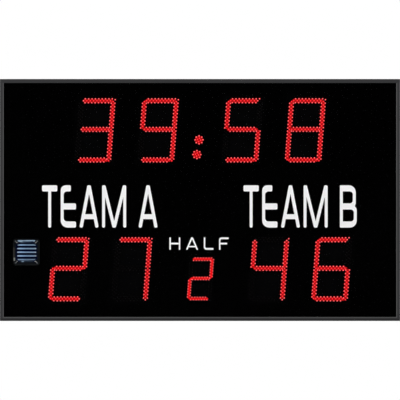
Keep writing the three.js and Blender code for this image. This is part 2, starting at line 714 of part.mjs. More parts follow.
function addRear() {
  const panel = outline([
    [-insideHalfWidth, -insideHalfHeight], [insideHalfWidth, -insideHalfHeight],
    [insideHalfWidth, insideHalfHeight], [-insideHalfWidth, insideHalfHeight],
  ]);
  const ventX = BOARD_WIDTH / 2 - VENT_EDGE_INSET;
  for (const x of [-ventX, ventX]) {
    for (const start of [BOARD_HEIGHT / 2 - VENT_TOP_INSET, -VENT_MIDDLE_DROP]) {
      for (let row = 0; row < VENT_ROWS; row += 1) {
        const z = start + (row - (VENT_ROWS - 1) / 2) * VENT_PITCH;
        for (const side of [-1, 1]) {
          panel.holes.push(slot(x + side * (VENT_LENGTH + VENT_GAP) / 2, z, VENT_LENGTH, VENT_HEIGHT));
        }
      }
    }
  }
  add('rear_panel', plate(panel, [rearPanelFront, BOARD_DEPTH]), 'frame');

  const back = rearPanelFront - CLEARANCE;
  const front = back - STIFFENER_DEPTH;
  const reach = BOARD_HEIGHT / 2 - REAR_FLANGE_REACH - CLEARANCE;
  const radioReach = CONTROLLER.width / 2 + RADIO.width;
  const midway = (radioReach + supplyLeft - SUPPLY.terminalX) / 2;
  for (const [name, x] of [['left', -midway], ['right', midway]]) {
    const [low, high] = around(x, STIFFENER_WIDTH);
    const channel = outline([
      [low, back], [low, front], [high, front], [high, back], [high - STIFFENER_SHEET, back],
      [high - STIFFENER_SHEET, front + STIFFENER_SHEET], [low + STIFFENER_SHEET, front + STIFFENER_SHEET],
      [low + STIFFENER_SHEET, back],
    ]);
    const geometry = new THREE.ExtrudeGeometry(channel, { depth: 2 * reach, bevelEnabled: false });
    add(`rear_stiffener_${name}`, geometry.translate(0, 0, -reach), 'zinc');
  }
}

// Wall rail with an upturned lip, and the hanger rail whose lip drops in behind it
function addHanging() {
  const half = HANG_RAIL_HEIGHT / 2;
  const plateFront = wallPlane - HANG_SHEET;
  const floorTop = HOOK_FLOOR_RISE + HANG_SHEET;
  const lipBack = plateFront - HOOK_LIP_OFFSET;
  const lipFront = lipBack - HANG_SHEET;
  const lipTop = floorTop + HOOK_LIP_HEIGHT;
  const wallSection = outline([
    [wallPlane, -half], [wallPlane, half], [plateFront, half], [plateFront, floorTop],
    [lipBack, floorTop], [lipBack, lipTop], [lipFront, lipTop], [lipFront, HOOK_FLOOR_RISE],
    [plateFront, HOOK_FLOOR_RISE], [plateFront, -half],
  ]);
  const span = around(0, hangRailLength);
  const { length, height, drop, inner, endInset } = RAIL_SLOT;
  const outer = hangRailLength / 2 - endInset;
  const slots = [-outer, -inner, inner, outer].map(
    (x) => plate(slot(x, -drop, length, height), beyond([plateFront, wallPlane])),
  );
  const wallRail = add('wall_rail', cut(profile(wallSection, span), ...slots), 'aluminium');
  wallRail.position.z = wallRailRise;

  const hangerBack = hangerFront + HANG_SHEET;
  const dropBack = plateFront - (HOOK_LIP_OFFSET - HANG_SHEET) / 2;
  const dropFront = dropBack - HANG_SHEET;
  const tongueBottom = floorTop + CLEARANCE;
  const bridgeLow = lipTop + HANG_SHEET;
  const bridgeTop = bridgeLow + HANG_SHEET;
  const hangerSection = outline([
    [hangerFront, bridgeTop - HANGER_PLATE_HEIGHT], [hangerFront, bridgeTop], [dropBack, bridgeTop],
    [dropBack, tongueBottom], [dropFront, tongueBottom], [dropFront, bridgeLow],
    [hangerBack, bridgeLow], [hangerBack, bridgeTop - HANGER_PLATE_HEIGHT],
  ]);
  add('hanger_rail', profile(hangerSection, span), 'aluminium').position.z = wallRailRise;

  const bufferX = BOARD_WIDTH / 2 - BUFFER_EDGE_INSET;
  const bufferZ = -BOARD_HEIGHT / 2 + BUFFER_FOOT_INSET;
  for (const [name, x] of [['left', -bufferX], ['right', bufferX]]) {
    add(`wall_buffer_${name}`, rodAlong(
      'y', BUFFER_RADIUS, [hangerFront, wallPlane], [x, bufferZ], LARGE_ROUND_SIDES, BUFFER_TIP_RADIUS,
    ), 'rubber');
  }
}

// Connector bay: a sheet tray over a mouth in the bottom frame bar, closed by a hinged flap
function bayTray() {
  const half = BAY_WIDTH / 2;
  const innerX = around(bayX, BAY_WIDTH);
  const outerX = beyond(innerX, BAY_SHEET);
  const innerY = [BAY_FRONT_DEPTH, bayBackDepth];
  const outerY = beyond(innerY, BAY_SHEET);
  const roofTop = bayRoof + BAY_SHEET;
  const shell = block(outerX, outerY, [bayFloor, roofTop]);
  const flanges = block(beyond(outerX, BAY_FLANGE), innerY, [bayFloor, bayFloor + BAY_SHEET]);
  const backFoot = block(
    innerX, [innerY[1] - OVERRUN, outerY[1] + OVERRUN],
    [bayFloor - OVERRUN, hingeHeight + HINGE_BARREL_RADIUS + FLAP_GAP],
  );
  const ears = [-1, 1].map((side) => block(
    around(bayX + side * (half + BAY_SHEET / 2), BAY_SHEET),
    around(hingeDepth, HINGE_EAR_DEPTH),
    [hingeHeight - HINGE_BARREL_RADIUS + CLEARANCE, bayFloor + OVERRUN],
  ));
  const inside = block(innerX, innerY, [bayFloor - OVERRUN, bayRoof]);
  const pinHole = rodAlong('x', HINGE_BORE_RADIUS, beyond(outerX), [hingeDepth, hingeHeight]);
  const roofSpan = beyond([bayRoof, roofTop]);
  const gap = 2 * CLEARANCE;
  const holes = [INLET, SWITCH, SOCKET].map(({ x, bodyX, bodyY }) => block(
    around(bayX + x, bodyX + gap), around(bayMiddle, bodyY + gap), roofSpan,
  ));
  holes.push(rodAlong('z', BUTTON.bodyRadius + CLEARANCE, roofSpan, [bayX + BUTTON.x, bayMiddle]));
  return cut(join(shell, flanges, ...ears), inside, backFoot, pinHole, ...holes);
}

function bayFlap() {
  const width = BAY_WIDTH - 2 * FLAP_GAP;
  const low = -BOARD_HEIGHT / 2;
  const front = BAY_FRONT_DEPTH - CLEARANCE + FLAP_GAP;
  const leaf = block(around(bayX, width), [front, hingeDepth], [low, low + FLAP_SHEET]);
  const barrel = rodAlong('x', HINGE_BARREL_RADIUS, around(bayX, width), [hingeDepth, hingeHeight]);
  const bore = rodAlong('x', HINGE_BORE_RADIUS, beyond(around(bayX, width)), [hingeDepth, hingeHeight]);
  const notch = block(
    around(bayX, FLAP_NOTCH_WIDTH), [front - OVERRUN, front + FLAP_NOTCH_DEPTH],
    beyond([low, low + FLAP_SHEET]),
  );
  return cut(join(leaf, barrel), bore, notch);
}

function addBay() {
  add('connector_bay', bayTray(), 'zinc');
  add('bay_flap', bayFlap(), 'frame');
  const pinSpan = around(bayX, BAY_WIDTH + 2 * (BAY_SHEET + HINGE_PIN_OVERHANG));
  add('flap_hinge_pin', rodAlong('x', HINGE_PIN_RADIUS, pinSpan, [hingeDepth, hingeHeight]), 'steel');
  const catchFloor = -BOARD_HEIGHT / 2 + FLAP_SHEET + CLEARANCE;
  const catchFront = BAY_FRONT_DEPTH + CLEARANCE;
  add('flap_magnet', block(
    around(bayX + CATCH_OFFSET, CATCH_SIZE.x), [catchFront, catchFront + CATCH_SIZE.y],
    [catchFloor, catchFloor + CATCH_SIZE.z],
  ), 'steel');
}

// Devices face down: a flange under the bay's roof and a body through it
function deviceBody({ x, flangeX, flangeY, bodyX, bodyY, bodyZ }) {
  const place = bayX + x;
  return join(
    block(around(place, flangeX), around(bayMiddle, flangeY), [deviceFace, deviceFace + DEVICE_FLANGE]),
    block(around(place, bodyX), around(bayMiddle, bodyY), [deviceFace, deviceFace + bodyZ]),
  );
}

// Mains inlet with its fuse drawer
function powerInlet() {
  const x = bayX + INLET.x;
  const socketY = around(bayMiddle + INLET.socketShift, INLET.socketY);
  const drawerY = around(bayMiddle + DRAWER.shift, DRAWER.y);
  const socketTop = deviceFace + INLET.socketDepth;
  const shell = cut(
    deviceBody(INLET),
    block(around(x, INLET.socketX), socketY, [deviceFace - OVERRUN, socketTop]),
    block(around(x, DRAWER.x), drawerY, [deviceFace - OVERRUN, deviceFace + DRAWER.z]),
  );
  const pins = [-1, 0, 1].map((spot) => {
    const shift = spot === 0 ? -INLET.pinStagger : 0;
    const y = bayMiddle + INLET.socketShift - INLET.pinStagger / 2 + shift;
    return block(
      around(x + spot * INLET.pinSpacing, INLET.pinX), around(y, INLET.pinY),
      [socketTop - INLET.pinZ, socketTop + CLEARANCE],
    );
  });
  return join(shell, ...pins);
}

function fuseDrawer() {
  const x = bayX + INLET.x;
  const y = bayMiddle + DRAWER.shift;
  const gap = 2 * CLEARANCE;
  const faceTop = deviceFace - CLEARANCE;
  const top = deviceFace + DRAWER.z - CLEARANCE;
  const body = join(
    block(around(x, DRAWER.faceX), around(y, DRAWER.faceY), [faceTop - DRAWER.faceZ, faceTop]),
    block(around(x, DRAWER.x - gap), around(y, DRAWER.y - gap), [faceTop - CLEARANCE, top]),
  );
  const pocketFront = y - DRAWER.y / 2;
  return cut(body, block(
    around(x, DRAWER.pocketX), [pocketFront - OVERRUN, pocketFront + DRAWER.pocketY],
    [top - DRAWER.pocketInset - DRAWER.pocketZ, top - DRAWER.pocketInset],
  ));
}

// Rocker switch: the rocker rests tilted to one side and swings to the other
const rockerPivot = deviceFace + ROCKER.pivotInset;

function switchHousing() {
  const x = bayX + SWITCH.x;
  const axle = around(bayMiddle, ROCKER.width + 2 * (ROCKER.axleReach + CLEARANCE));
  return cut(
    deviceBody(SWITCH),
    block(
      around(x, SWITCH.cavityX), around(bayMiddle, SWITCH.cavityY),
      [deviceFace - OVERRUN, deviceFace + ROCKER.cavityDepth],
    ),
    rodAlong('y', ROCKER.axleBore, axle, [x, rockerPivot]),
  );
}

function powerRocker() {
  const { halfLength, crease, shoulder, waist, foot, width, axleReach, axleRadius } = ROCKER;
  const tilt = THREE.MathUtils.degToRad(ROCKER_TILT_DEGREES);
  const edge = crease + halfLength * Math.tan(tilt);
  const side = outline([
    [0, -crease], [halfLength, -edge], [shoulder, 0], [waist, foot], [-waist, foot], [-shoulder, 0],
    [-halfLength, -edge],
  ]);
  const body = join(
    plate(side, around(0, width)),
    rodAlong('y', axleRadius, around(0, width + 2 * axleReach), [0, 0]),
  );
  return body.rotateY(-tilt).translate(bayX + SWITCH.x, bayMiddle, rockerPivot);
}

function dataSocket() {
  const x = bayX + SOCKET.x;
  const depth = [deviceFace - OVERRUN, deviceFace + SOCKET.mouthDepth];
  const keyY = bayMiddle + SOCKET.mouthY / 2;
  return cut(
    deviceBody(SOCKET),
    block(around(x, SOCKET.mouthX), around(bayMiddle, SOCKET.mouthY), depth),
    block(around(x, SOCKET.keyX), [bayMiddle, keyY + SOCKET.keyY], depth),
  );
}

function addDevices() {
  add('power_inlet', powerInlet(), 'blackPlastic');
  add('fuse_drawer', fuseDrawer(), 'blackPlastic');
  add('power_switch_housing', switchHousing(), 'blackPlastic');
  add('power_rocker', powerRocker(), 'red');
  add('data_socket', dataSocket(), 'greyPlastic');

  const spot = [bayX + BUTTON.x, bayMiddle];
  const buttonTop = deviceFace - BUTTON.proud + BUTTON.length;
  const upright = (radius, span) => rodAlong('z', radius, span, spot, LARGE_ROUND_SIDES);
  add('pairing_button_housing', cut(
    join(
      upright(BUTTON.flangeRadius, [deviceFace, deviceFace + DEVICE_FLANGE]),
      upright(BUTTON.bodyRadius, [deviceFace, deviceFace + BUTTON.bodyZ]),
    ),
    upright(BUTTON.bore, [deviceFace - OVERRUN, buttonTop + BUTTON.travel + CLEARANCE]),
  ), 'blackPlastic');
  add('pairing_button', upright(BUTTON.radius, [deviceFace - BUTTON.proud, buttonTop]), 'red');
}

// Power supply, controller and radio on the rear panel
const controllerBack = CONTROLLER.depth + CIRCUIT_BOARD;
const headerTop = -CONTROLLER.height / 2 + CONTROLLER.plugZ;

function controllerBoard() {
  const { width, height, depth, postRadius, postInset, plugX, plugZ, plugY, plugInset } = CONTROLLER;
  const { headerX, sinkX, sinkZ, sinkY } = CONTROLLER;
  const front = [depth - plugY, depth + CIRCUIT_BOARD / 2];
  const pieces = [block(around(0, width), [depth, controllerBack], around(0, height))];
  for (const side of [-1, 1]) {
    const plugMiddle = side * (height / 2 - plugInset - plugZ / 2);
    pieces.push(block(around(0, plugX), front, around(plugMiddle, plugZ)));
    for (const end of [-1, 1]) {
      const spot = [end * (width / 2 - postInset), side * (height / 2 - postInset)];
      pieces.push(rodAlong('y', postRadius, [controllerBack - CIRCUIT_BOARD / 2, supplyBack], spot));
    }
  }
  for (const x of Object.values(LEAD_HEADERS)) {
    pieces.push(block(around(x, headerX), front, [-height / 2, headerTop]));
  }
  pieces.push(block(around(width / 4, sinkX), [depth - sinkY, front[1]], around(0, sinkZ)));
  return join(...pieces);
}

function radioReceiver() {
  const right = -CONTROLLER.width / 2 - CLEARANCE;
  const left = right - RADIO.width;
  const half = RADIO.height / 2;
  const aerial = [left + RADIO.aerialInset, supplyBack - RADIO.depth / 2];
  return join(
    block([left, right], [supplyBack - RADIO.depth, supplyBack], [-half, half]),
    rodAlong('z', RADIO.aerialRadius, [half - OVERRUN, half + RADIO.aerialLength], aerial),
  );
}

function addElectronics() {
  const { width, height, depth, terminalX, terminalY, terminalZ } = SUPPLY;
  const terminalSpan = [supplyLeft - terminalX, supplyLeft + OVERRUN];
  add('power_supply', join(
    block(around(bayX, width), [supplyBack - depth, supplyBack], around(supplyRise, height)),
    block(terminalSpan, [supplyBack - terminalY, supplyBack], around(supplyRise, terminalZ)),
  ), 'aluminium');
  add('controller_board', controllerBoard(), 'greenBoard');
  add('radio_receiver', radioReceiver(), 'greyPlastic');
}

// Leads: round tubes from one device to another, through the loom space behind the rails
function tube(points, diameter) {
  const section = new THREE.Shape();
  for (let i = 0; i < LEAD_SIDES; i += 1) {
    const angle = (i / LEAD_SIDES) * Math.PI * 2;
    const corner = [Math.cos(angle) * diameter / 2, Math.sin(angle) * diameter / 2];
    if (i === 0) section.moveTo(...corner);
    else section.lineTo(...corner);
  }
  const path = new THREE.CatmullRomCurve3(points, false, 'centripetal');
  return new THREE.ExtrudeGeometry(section, { steps: LEAD_STEPS, bevelEnabled: false, extrudePath: path });
}

function loomLead(start, startWay, end, endWay, diameter) {
  const first = new THREE.Vector3(...start);
  const last = new THREE.Vector3(...end);
  const between = (share) => {
    const point = first.clone().lerp(last, share);
    return point.setY(LOOM_DEPTH).setZ(point.z - LOOM_SAG);
  };
  return tube([
    first,
    first.clone().addScaledVector(new THREE.Vector3(...startWay), LEAD_STUB),
    between(1 / 3),
    between(2 / 3),
    last.clone().addScaledVector(new THREE.Vector3(...endWay), LEAD_STUB),
    last,
  ], diameter);
}

function addLeads() {
  const down = [0, 0, -1];
  const header = (x) => [x, CONTROLLER.depth - CONTROLLER.plugY / 2, -CONTROLLER.height / 2 - CLEARANCE];
  const terminal = [supplyLeft - SUPPLY.terminalX - CLEARANCE, supplyBack - SUPPLY.terminalY / 2, supplyRise];
  add('power_lead', loomLead(terminal, [-1, 0, 0], header(LEAD_HEADERS.power), down, POWER_LEAD), 'lead');

  const hornSide = [hornX + DRIVER_RADIUS + CLEARANCE, supplyBack - DRIVER_LENGTH, -hornDrop];
  add('horn_lead', loomLead(header(LEAD_HEADERS.horn), down, hornSide, [1, 0, 0], SIGNAL_LEAD), 'lead');

  const socketTop = [bayX + SOCKET.x, bayMiddle, deviceFace + SOCKET.bodyZ + CLEARANCE];
  add('data_lead', loomLead(socketTop, [0, 0, 1], header(LEAD_HEADERS.data), down, SIGNAL_LEAD), 'lead');

  const mainsX = bayX + INLET.x;
  const mainsY = supplyBack - SUPPLY.depth / 2;
  const mains = [
    [mainsX, bayMiddle, inletTop], [mainsX, bayMiddle, inletTop + LEAD_STUB],
    [mainsX, mainsY, supplyFloor - LEAD_STUB], [mainsX, mainsY, supplyFloor],
  ];
  add('mains_lead', tube(mains.map((point) => new THREE.Vector3(...point)), MAINS_LEAD), 'lead');
}

// Flat ribbons: a strip inside a rail and a drop from it to the controller
function ribbon(length, railRise) {
  const side = Math.sign(railRise);
  const { thickness, height, dropWidth, standoff } = RIBBON;
  const half = thickness / 2;
  const inside = railFront + RAIL_SHEET + CLEARANCE + half;
  const outside = railBack + standoff;
  const plugFace = CONTROLLER.depth - CONTROLLER.plugY - CLEARANCE - half;
  const plugRise = CONTROLLER.height / 2 - CONTROLLER.plugInset - CONTROLLER.plugZ;
  const railEdge = railRise - side * RAIL_HEIGHT / 2;
  const fall = railEdge - side * plugRise;
  const bendEnd = railEdge - fall * (RIBBON_STRAIGHT_SHARE + RIBBON_BEND_SHARE);
  const route = [
    [inside, railRise], [inside, railRise - side * height / 4], [outside, railEdge + side * standoff],
    [outside, railEdge - fall * RIBBON_STRAIGHT_SHARE], [plugFace, bendEnd], [plugFace, side * plugRise],
  ];
  const sheet = outline([
    ...route.map(([y, z]) => [y - half, z]),
    ...[...route].reverse().map(([y, z]) => [y + half, z]),
  ]);
  return join(
    block(around(0, length), around(inside, thickness), around(railRise, height)),
    profile(sheet, around(0, dropWidth)),
  );
}

function addRibbons() {
  const innerRail = rowRise - RAIL_SPREAD / 2;
  const reach = (places) => 2 * (Math.max(...places) + RIBBON.endReach);
  add('clock_ribbon', ribbon(reach(clockPlaces), innerRail), 'ribbon');
  add('score_ribbon', ribbon(reach(scorePlaces), -innerRail), 'ribbon');
}

addFrame();
addCornerCleats();
addWindow();
addDisplayBoards();
addRails();
addHorn();
addRear();
addHanging();
addBay();
addDevices();
addElectronics();
addLeads();
addRibbons();

export default scoreboard;
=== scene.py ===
# Looks of a wall-hung electronic scoreboard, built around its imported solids. Sizes are in
# millimetres on the board: x to the right, depth behind the front face, z up from the middle.
import math
from collections import namedtuple

import bmesh
import bpy
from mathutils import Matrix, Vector


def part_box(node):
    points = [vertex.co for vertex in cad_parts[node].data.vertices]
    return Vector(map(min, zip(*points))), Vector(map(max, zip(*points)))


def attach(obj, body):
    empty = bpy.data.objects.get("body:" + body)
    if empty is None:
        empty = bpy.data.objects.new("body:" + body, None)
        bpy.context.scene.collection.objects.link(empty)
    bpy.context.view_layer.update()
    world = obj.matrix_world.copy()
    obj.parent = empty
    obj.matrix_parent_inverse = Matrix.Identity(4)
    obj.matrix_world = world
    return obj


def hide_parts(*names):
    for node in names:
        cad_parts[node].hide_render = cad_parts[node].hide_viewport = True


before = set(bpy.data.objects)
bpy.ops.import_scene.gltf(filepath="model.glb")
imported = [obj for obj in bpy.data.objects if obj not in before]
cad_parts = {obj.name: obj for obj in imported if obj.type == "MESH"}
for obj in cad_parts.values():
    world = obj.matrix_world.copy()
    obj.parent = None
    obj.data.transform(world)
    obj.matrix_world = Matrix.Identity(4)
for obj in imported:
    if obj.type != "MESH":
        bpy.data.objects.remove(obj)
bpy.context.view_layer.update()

MM = 0.001
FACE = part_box("frame_top")[0].y
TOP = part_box("frame_top")[1].z
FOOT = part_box("frame_bottom")[0].z
MIDDLE = (TOP + FOOT) / 2


def at(x, depth, z):
    """A point of the board, in metres"""
    return Vector((x * MM, FACE + depth * MM, MIDDLE + z * MM))


def middle_of(node):
    """The x and z of a node's middle"""
    low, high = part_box(node)
    return (low.x + high.x) / 2 / MM, ((low.z + high.z) / 2 - MIDDLE) / MM


def depths_of(node):
    return [(corner.y - FACE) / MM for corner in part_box(node)]


def heights_of(node):
    return [(corner.z - MIDDLE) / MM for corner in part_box(node)]


def middle_depth(node):
    return sum(depths_of(node)) / 2


HALF_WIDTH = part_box("frame_right")[1].x / MM
HALF_HEIGHT = (TOP - FOOT) / 2 / MM
HORN_X, HORN_Z = middle_of("horn_louvre")


def add_object(name, data):
    made = bpy.data.objects.new(name, data)
    bpy.context.scene.collection.objects.link(made)
    return made


# Camera, straight in front
CAMERA_DISTANCE = 12.0
CLIP_END = 300
SENSOR = 36.0
VIEW_WIDTH = 1.4975

camera_data = bpy.data.cameras.new("camera")
camera_data.sensor_width = SENSOR
camera_data.lens = SENSOR * CAMERA_DISTANCE / VIEW_WIDTH
camera_data.clip_end = CLIP_END
camera = add_object("camera", camera_data)
camera.location = (0, FACE - CAMERA_DISTANCE, MIDDLE)
camera.rotation_euler = (math.pi / 2, 0, 0)
bpy.context.scene.camera = camera
bpy.context.scene.view_settings.view_transform = "Standard"


# Shader nodes
def feed(tree, sockets, *values):
    """Links outputs to sockets in turn, or sets numbers, vectors and colours on them"""
    for socket, value in zip(sockets, values):
        if isinstance(value, bpy.types.NodeSocket):
            tree.links.new(value, socket)
        elif socket.type == "RGBA":
            socket.default_value = (*value, 1)
        else:
            socket.default_value = value


def fill(tree, node, inputs):
    sockets = [node.inputs[name.replace("_", " ")] for name in inputs]
    feed(tree, sockets, *inputs.values())
    return node


def add_node(tree, kind, **inputs):
    return fill(tree, tree.nodes.new("ShaderNode" + kind), inputs)


class Graph:
    """The nodes of one material, on the object's own coordinates"""

    def __init__(self, name):
        self.material = bpy.data.materials.new(name)
        self.material.use_nodes = True
        self.tree = self.material.node_tree
        self.shader = self.tree.nodes["Principled BSDF"]
        self.coords = self.add("TexCoord").outputs["Object"]

    def add(self, kind, **inputs):
        return add_node(self.tree, kind, **inputs)

    def set(self, **inputs):
        fill(self.tree, self.shader, inputs)

    def noise(self, scale, detail, stretch=(1, 1, 1)):
        stretched = self.add("Mapping", Scale=stretch, Vector=self.coords).outputs["Vector"]
        return self.add("TexNoise", Scale=scale, Detail=detail, Vector=stretched).outputs["Fac"]

    def axis(self, letter):
        return self.add("SeparateXYZ", Vector=self.coords).outputs[letter]

    def math(self, operation, first, second=0.0):
        node = self.add("Math")
        node.operation = operation
        feed(self.tree, node.inputs, first, second)
        return node.outputs["Value"]

    def over(self, value, limit):
        return self.math("GREATER_THAN", value, limit)

    def under(self, value, limit):
        return self.math("LESS_THAN", value, limit)

    def times(self, product, *factors):
        for factor in factors:
            product = self.math("MULTIPLY", product, factor)
        return product

    def ramp(self, factor, *stops):
        node = self.add("ValToRGB", Fac=factor)
        elements = node.color_ramp.elements
        while len(elements) < len(stops):
            elements.new(0.5)
        for element, (place, color) in zip(elements, stops):
            element.position = place
            element.color = (*color, 1)
        return node.outputs["Color"]

    def span(self, value, low, high, start=0.0, end=1.0):
        """Turns the range from low to high into the one from start to end"""
        node = self.add("MapRange", Value=value, From_Min=low, From_Max=high, To_Min=start, To_Max=end)
        return node.outputs["Result"]

    def mixed(self, factor, first, second):
        node = self.add("Mix")
        node.data_type = "RGBA"
        colors = [socket for socket in node.inputs if socket.type == "RGBA"]
        feed(self.tree, [node.inputs["Factor"], *colors], factor, first, second)
        return next(socket for socket in node.outputs if socket.type == "RGBA")

    def tone(self):
        """The colour so far"""
        return self.shader.inputs["Base Color"].links[0].from_socket

    def cover(self, factor, color):
        """Paints over the colour so far where the factor is 1"""
        self.set(Base_Color=self.mixed(factor, self.tone(), color))

    def patch(self, x, z, soft):
        """1 within a rectangle, given from the horn's middle, and fading over a soft edge"""
        edges = []
        for letter, start, (low, high) in (("X", HORN_X, x), ("Z", HORN_Z + MIDDLE / MM, z)):
            value = self.axis(letter)
            edges.append(self.span(value, (start + low - soft) * MM, (start + low) * MM))
            edges.append(self.span(value, (start + high + soft) * MM, (start + high) * MM))
        return self.times(*edges)

    def bump(self, height, distance, strength=1.0):
        node = self.add("Bump", Height=height, Distance=distance, Strength=strength)
        self.set(Normal=node.outputs["Normal"])


def shaded(color, share):
    return tuple(channel * share for channel in color)


# Materials by key: every one varies in colour and gloss, and has a fine relief
GLOSS_SPREAD = 0.06
FINE_RELIEF = 0.00001
materials = {}


def surface(
    key, name, color, roughness, metallic=0.0, specular=0.5, spread=0.12, cloud=7.0, grain=900.0,
    relief=0.00004, stretch=(1, 1, 1), coat=0.0,
):
    """A finish whose colour drifts in clouds, and whose gloss and relief follow its grain"""
    graph = Graph(name)
    clouds = graph.noise(cloud, 4.0)
    fine = graph.noise(grain, 2.0, stretch)
    dark, light = shaded(color, 1 - spread), shaded(color, 1 + spread)
    graph.set(
        Base_Color=graph.ramp(clouds, (0.3, dark), (0.7, light)),
        Roughness=graph.span(fine, 0.3, 0.7, roughness - GLOSS_SPREAD, roughness + GLOSS_SPREAD),
        Metallic=metallic, Specular_IOR_Level=specular, Coat_Weight=coat,
    )
    graph.bump(fine, relief)
    materials[key] = graph.material
    return graph


surface("rear", "rear_textured_coat", (0.042, 0.042, 0.046), 0.62, specular=0.3, spread=0.1,
        grain=520, relief=0.0001)
surface("rubber", "black_rubber", (0.014, 0.014, 0.014), 0.85, specular=0.25, grain=1600)
surface("circuit", "black_solder_mask", (0.0008, 0.0008, 0.001), 0.6, specular=0.015, grain=700)
surface("mask", "black_display_film", (0.0002, 0.0002, 0.0002), 0.8, specular=0.004)
surface("aluminium", "mill_aluminium", (0.6, 0.61, 0.62), 0.32, 1.0, spread=0.05, grain=260,
        relief=0.00002, stretch=(0.05, 3, 3))
surface("black", "black_moulded_plastic", (0.01, 0.01, 0.011), 0.42, specular=0.4, grain=1500)
surface("grey", "grey_moulded_plastic", (0.14, 0.15, 0.16), 0.45, grain=1200, spread=0.06)
surface("steel", "bright_steel", (0.62, 0.63, 0.64), 0.24, 1.0, spread=0.06, relief=FINE_RELIEF)
surface("dark_steel", "blackened_steel", (0.09, 0.095, 0.1), 0.35, 1.0, spread=0.2, cloud=200)
surface("red", "glossy_red", (0.42, 0.008, 0.01), 0.22, spread=0.06, grain=500, relief=FINE_RELIEF,
        coat=0.5)
surface("lead", "lead_jacket", (0.014, 0.014, 0.015), 0.5, specular=0.4, grain=700)
surface("vinyl", "white_vinyl", (0.98, 0.98, 0.98), 0.5, specular=0.2, spread=0.01, grain=700,
        relief=FINE_RELIEF)
surface("gold", "gold_contacts", (0.75, 0.55, 0.22), 0.25, 1.0, spread=0.05)
# The top brow's bright blue is a painted highlight and reflection, as it faces up to the light
surface("brow", "louvre_brow", (0.22, 0.32, 0.45), 0.2, spread=0.25, cloud=45)
surface("lens", "louvre_lens", (0.022, 0.042, 0.085), 0.35, specular=0.12, spread=0.3)
surface("navy", "louvre_shade", (0.0001, 0.003, 0.024), 0.5, specular=0.015, spread=0.3)
surface("unlit", "unlit_led", (0.002, 0.001, 0.001), 0.4, specular=0.03, grain=1200)

# Frame: a painted highlight along the bead by the window, paler on the sides, a painted black shade on the
# top arris and a painted dark shade band near the foot
FRAME_FACE = 15
BEAD_START = 11.8
BEAD_DEPTH = 2.6
BEAD_HIGHLIGHT_TONE = (0.048, 0.048, 0.049)
SIDE_BEAD_HIGHLIGHT_TONE = shaded(BEAD_HIGHLIGHT_TONE, 1.5)
ARRIS_WIDTH = 3.7
ARRIS_SHADE_TONE = (0.0008, 0.0008, 0.0008)
GROOVE_SHADE_BAND = (3.7, 7.4)
GROOVE_SHADE_TONE = (0.004, 0.004, 0.0045)

coat = surface("frame", "frame_powder_coat", (0.019, 0.019, 0.0205), 0.5, specular=0.25, cloud=5,
               grain=1400, relief=0.00005)
across, up = coat.axis("X"), coat.axis("Z")
rise = coat.math("ABSOLUTE", coat.math("SUBTRACT", up, MIDDLE))
from_side = coat.math("SUBTRACT", HALF_WIDTH * MM, coat.math("ABSOLUTE", across))
from_end = coat.math("SUBTRACT", HALF_HEIGHT * MM, rise)
front = coat.under(coat.axis("Y"), FACE + BEAD_DEPTH * MM)

# Painted highlight: the bead of the sides and the foot is paler, and paler still on the sides
inside = coat.over(coat.math("MINIMUM", from_side, from_end), BEAD_START * MM)
below_top = coat.under(up, MIDDLE + (HALF_HEIGHT - FRAME_FACE) * MM)
bead_highlight = coat.mixed(coat.under(from_side, from_end), BEAD_HIGHLIGHT_TONE, SIDE_BEAD_HIGHLIGHT_TONE)
coat.cover(coat.times(inside, front, below_top), bead_highlight)

# Painted shade: a black strip along the top bar's outer arris
arris_shade = coat.under(from_end, ARRIS_WIDTH * MM)
coat.cover(coat.times(arris_shade, coat.over(up, MIDDLE), front), ARRIS_SHADE_TONE)

# Painted shade: a dark band on the foot bar, a little in from its outer edge
groove_shade = coat.times(coat.over(from_end, GROOVE_SHADE_BAND[0] * MM), coat.under(from_end, GROOVE_SHADE_BAND[1] * MM))
coat.cover(coat.times(groove_shade, coat.under(up, MIDDLE), front), GROOVE_SHADE_TONE)

# Zinc: a spangle of flat crystals
SPANGLE_SCALE = 90.0
zinc = surface("zinc", "zinc_sheet", (0.42, 0.44, 0.46), 0.38, 1.0, grain=600, relief=FINE_RELIEF)
crystals = zinc.add("TexVoronoi", Scale=SPANGLE_SCALE, Vector=zinc.coords)
crystal = zinc.add("SeparateColor", Color=crystals.outputs["Color"]).outputs["Red"]
zinc.set(Base_Color=zinc.ramp(crystal, (0.0, (0.34, 0.36, 0.38)), (1.0, (0.5, 0.52, 0.54))))

# Controller: green mask with paler tracks
TRACK_SCALE = 260
TRACK_SHARE = 0.56
green = surface("green", "green_solder_mask", (0.01, 0.1, 0.04), 0.4, grain=700)
tracks = green.over(green.noise(TRACK_SCALE, 0.0, (1, 1, 0.15)), TRACK_SHARE)
green.set(Base_Color=green.mixed(tracks, (0.008, 0.08, 0.03), (0.02, 0.16, 0.07)))

# Ribbon: flat cores side by side
CORE_SCALE = 390
ribbon = surface("ribbon", "ribbon_jacket", (0.3, 0.31, 0.32), 0.6, grain=700)
cores = ribbon.add("TexWave", Scale=CORE_SCALE, Vector=ribbon.coords)
ribbon.bump(cores.outputs["Fac"], 0.0004, 0.6)

# Window: smoked sheet that lets most of the light through
window = surface("window", "smoked_window", (0.0006, 0.0006, 0.0008), 0.22, specular=0.012,
                 relief=0.000004)
window.set(Alpha=0.12)

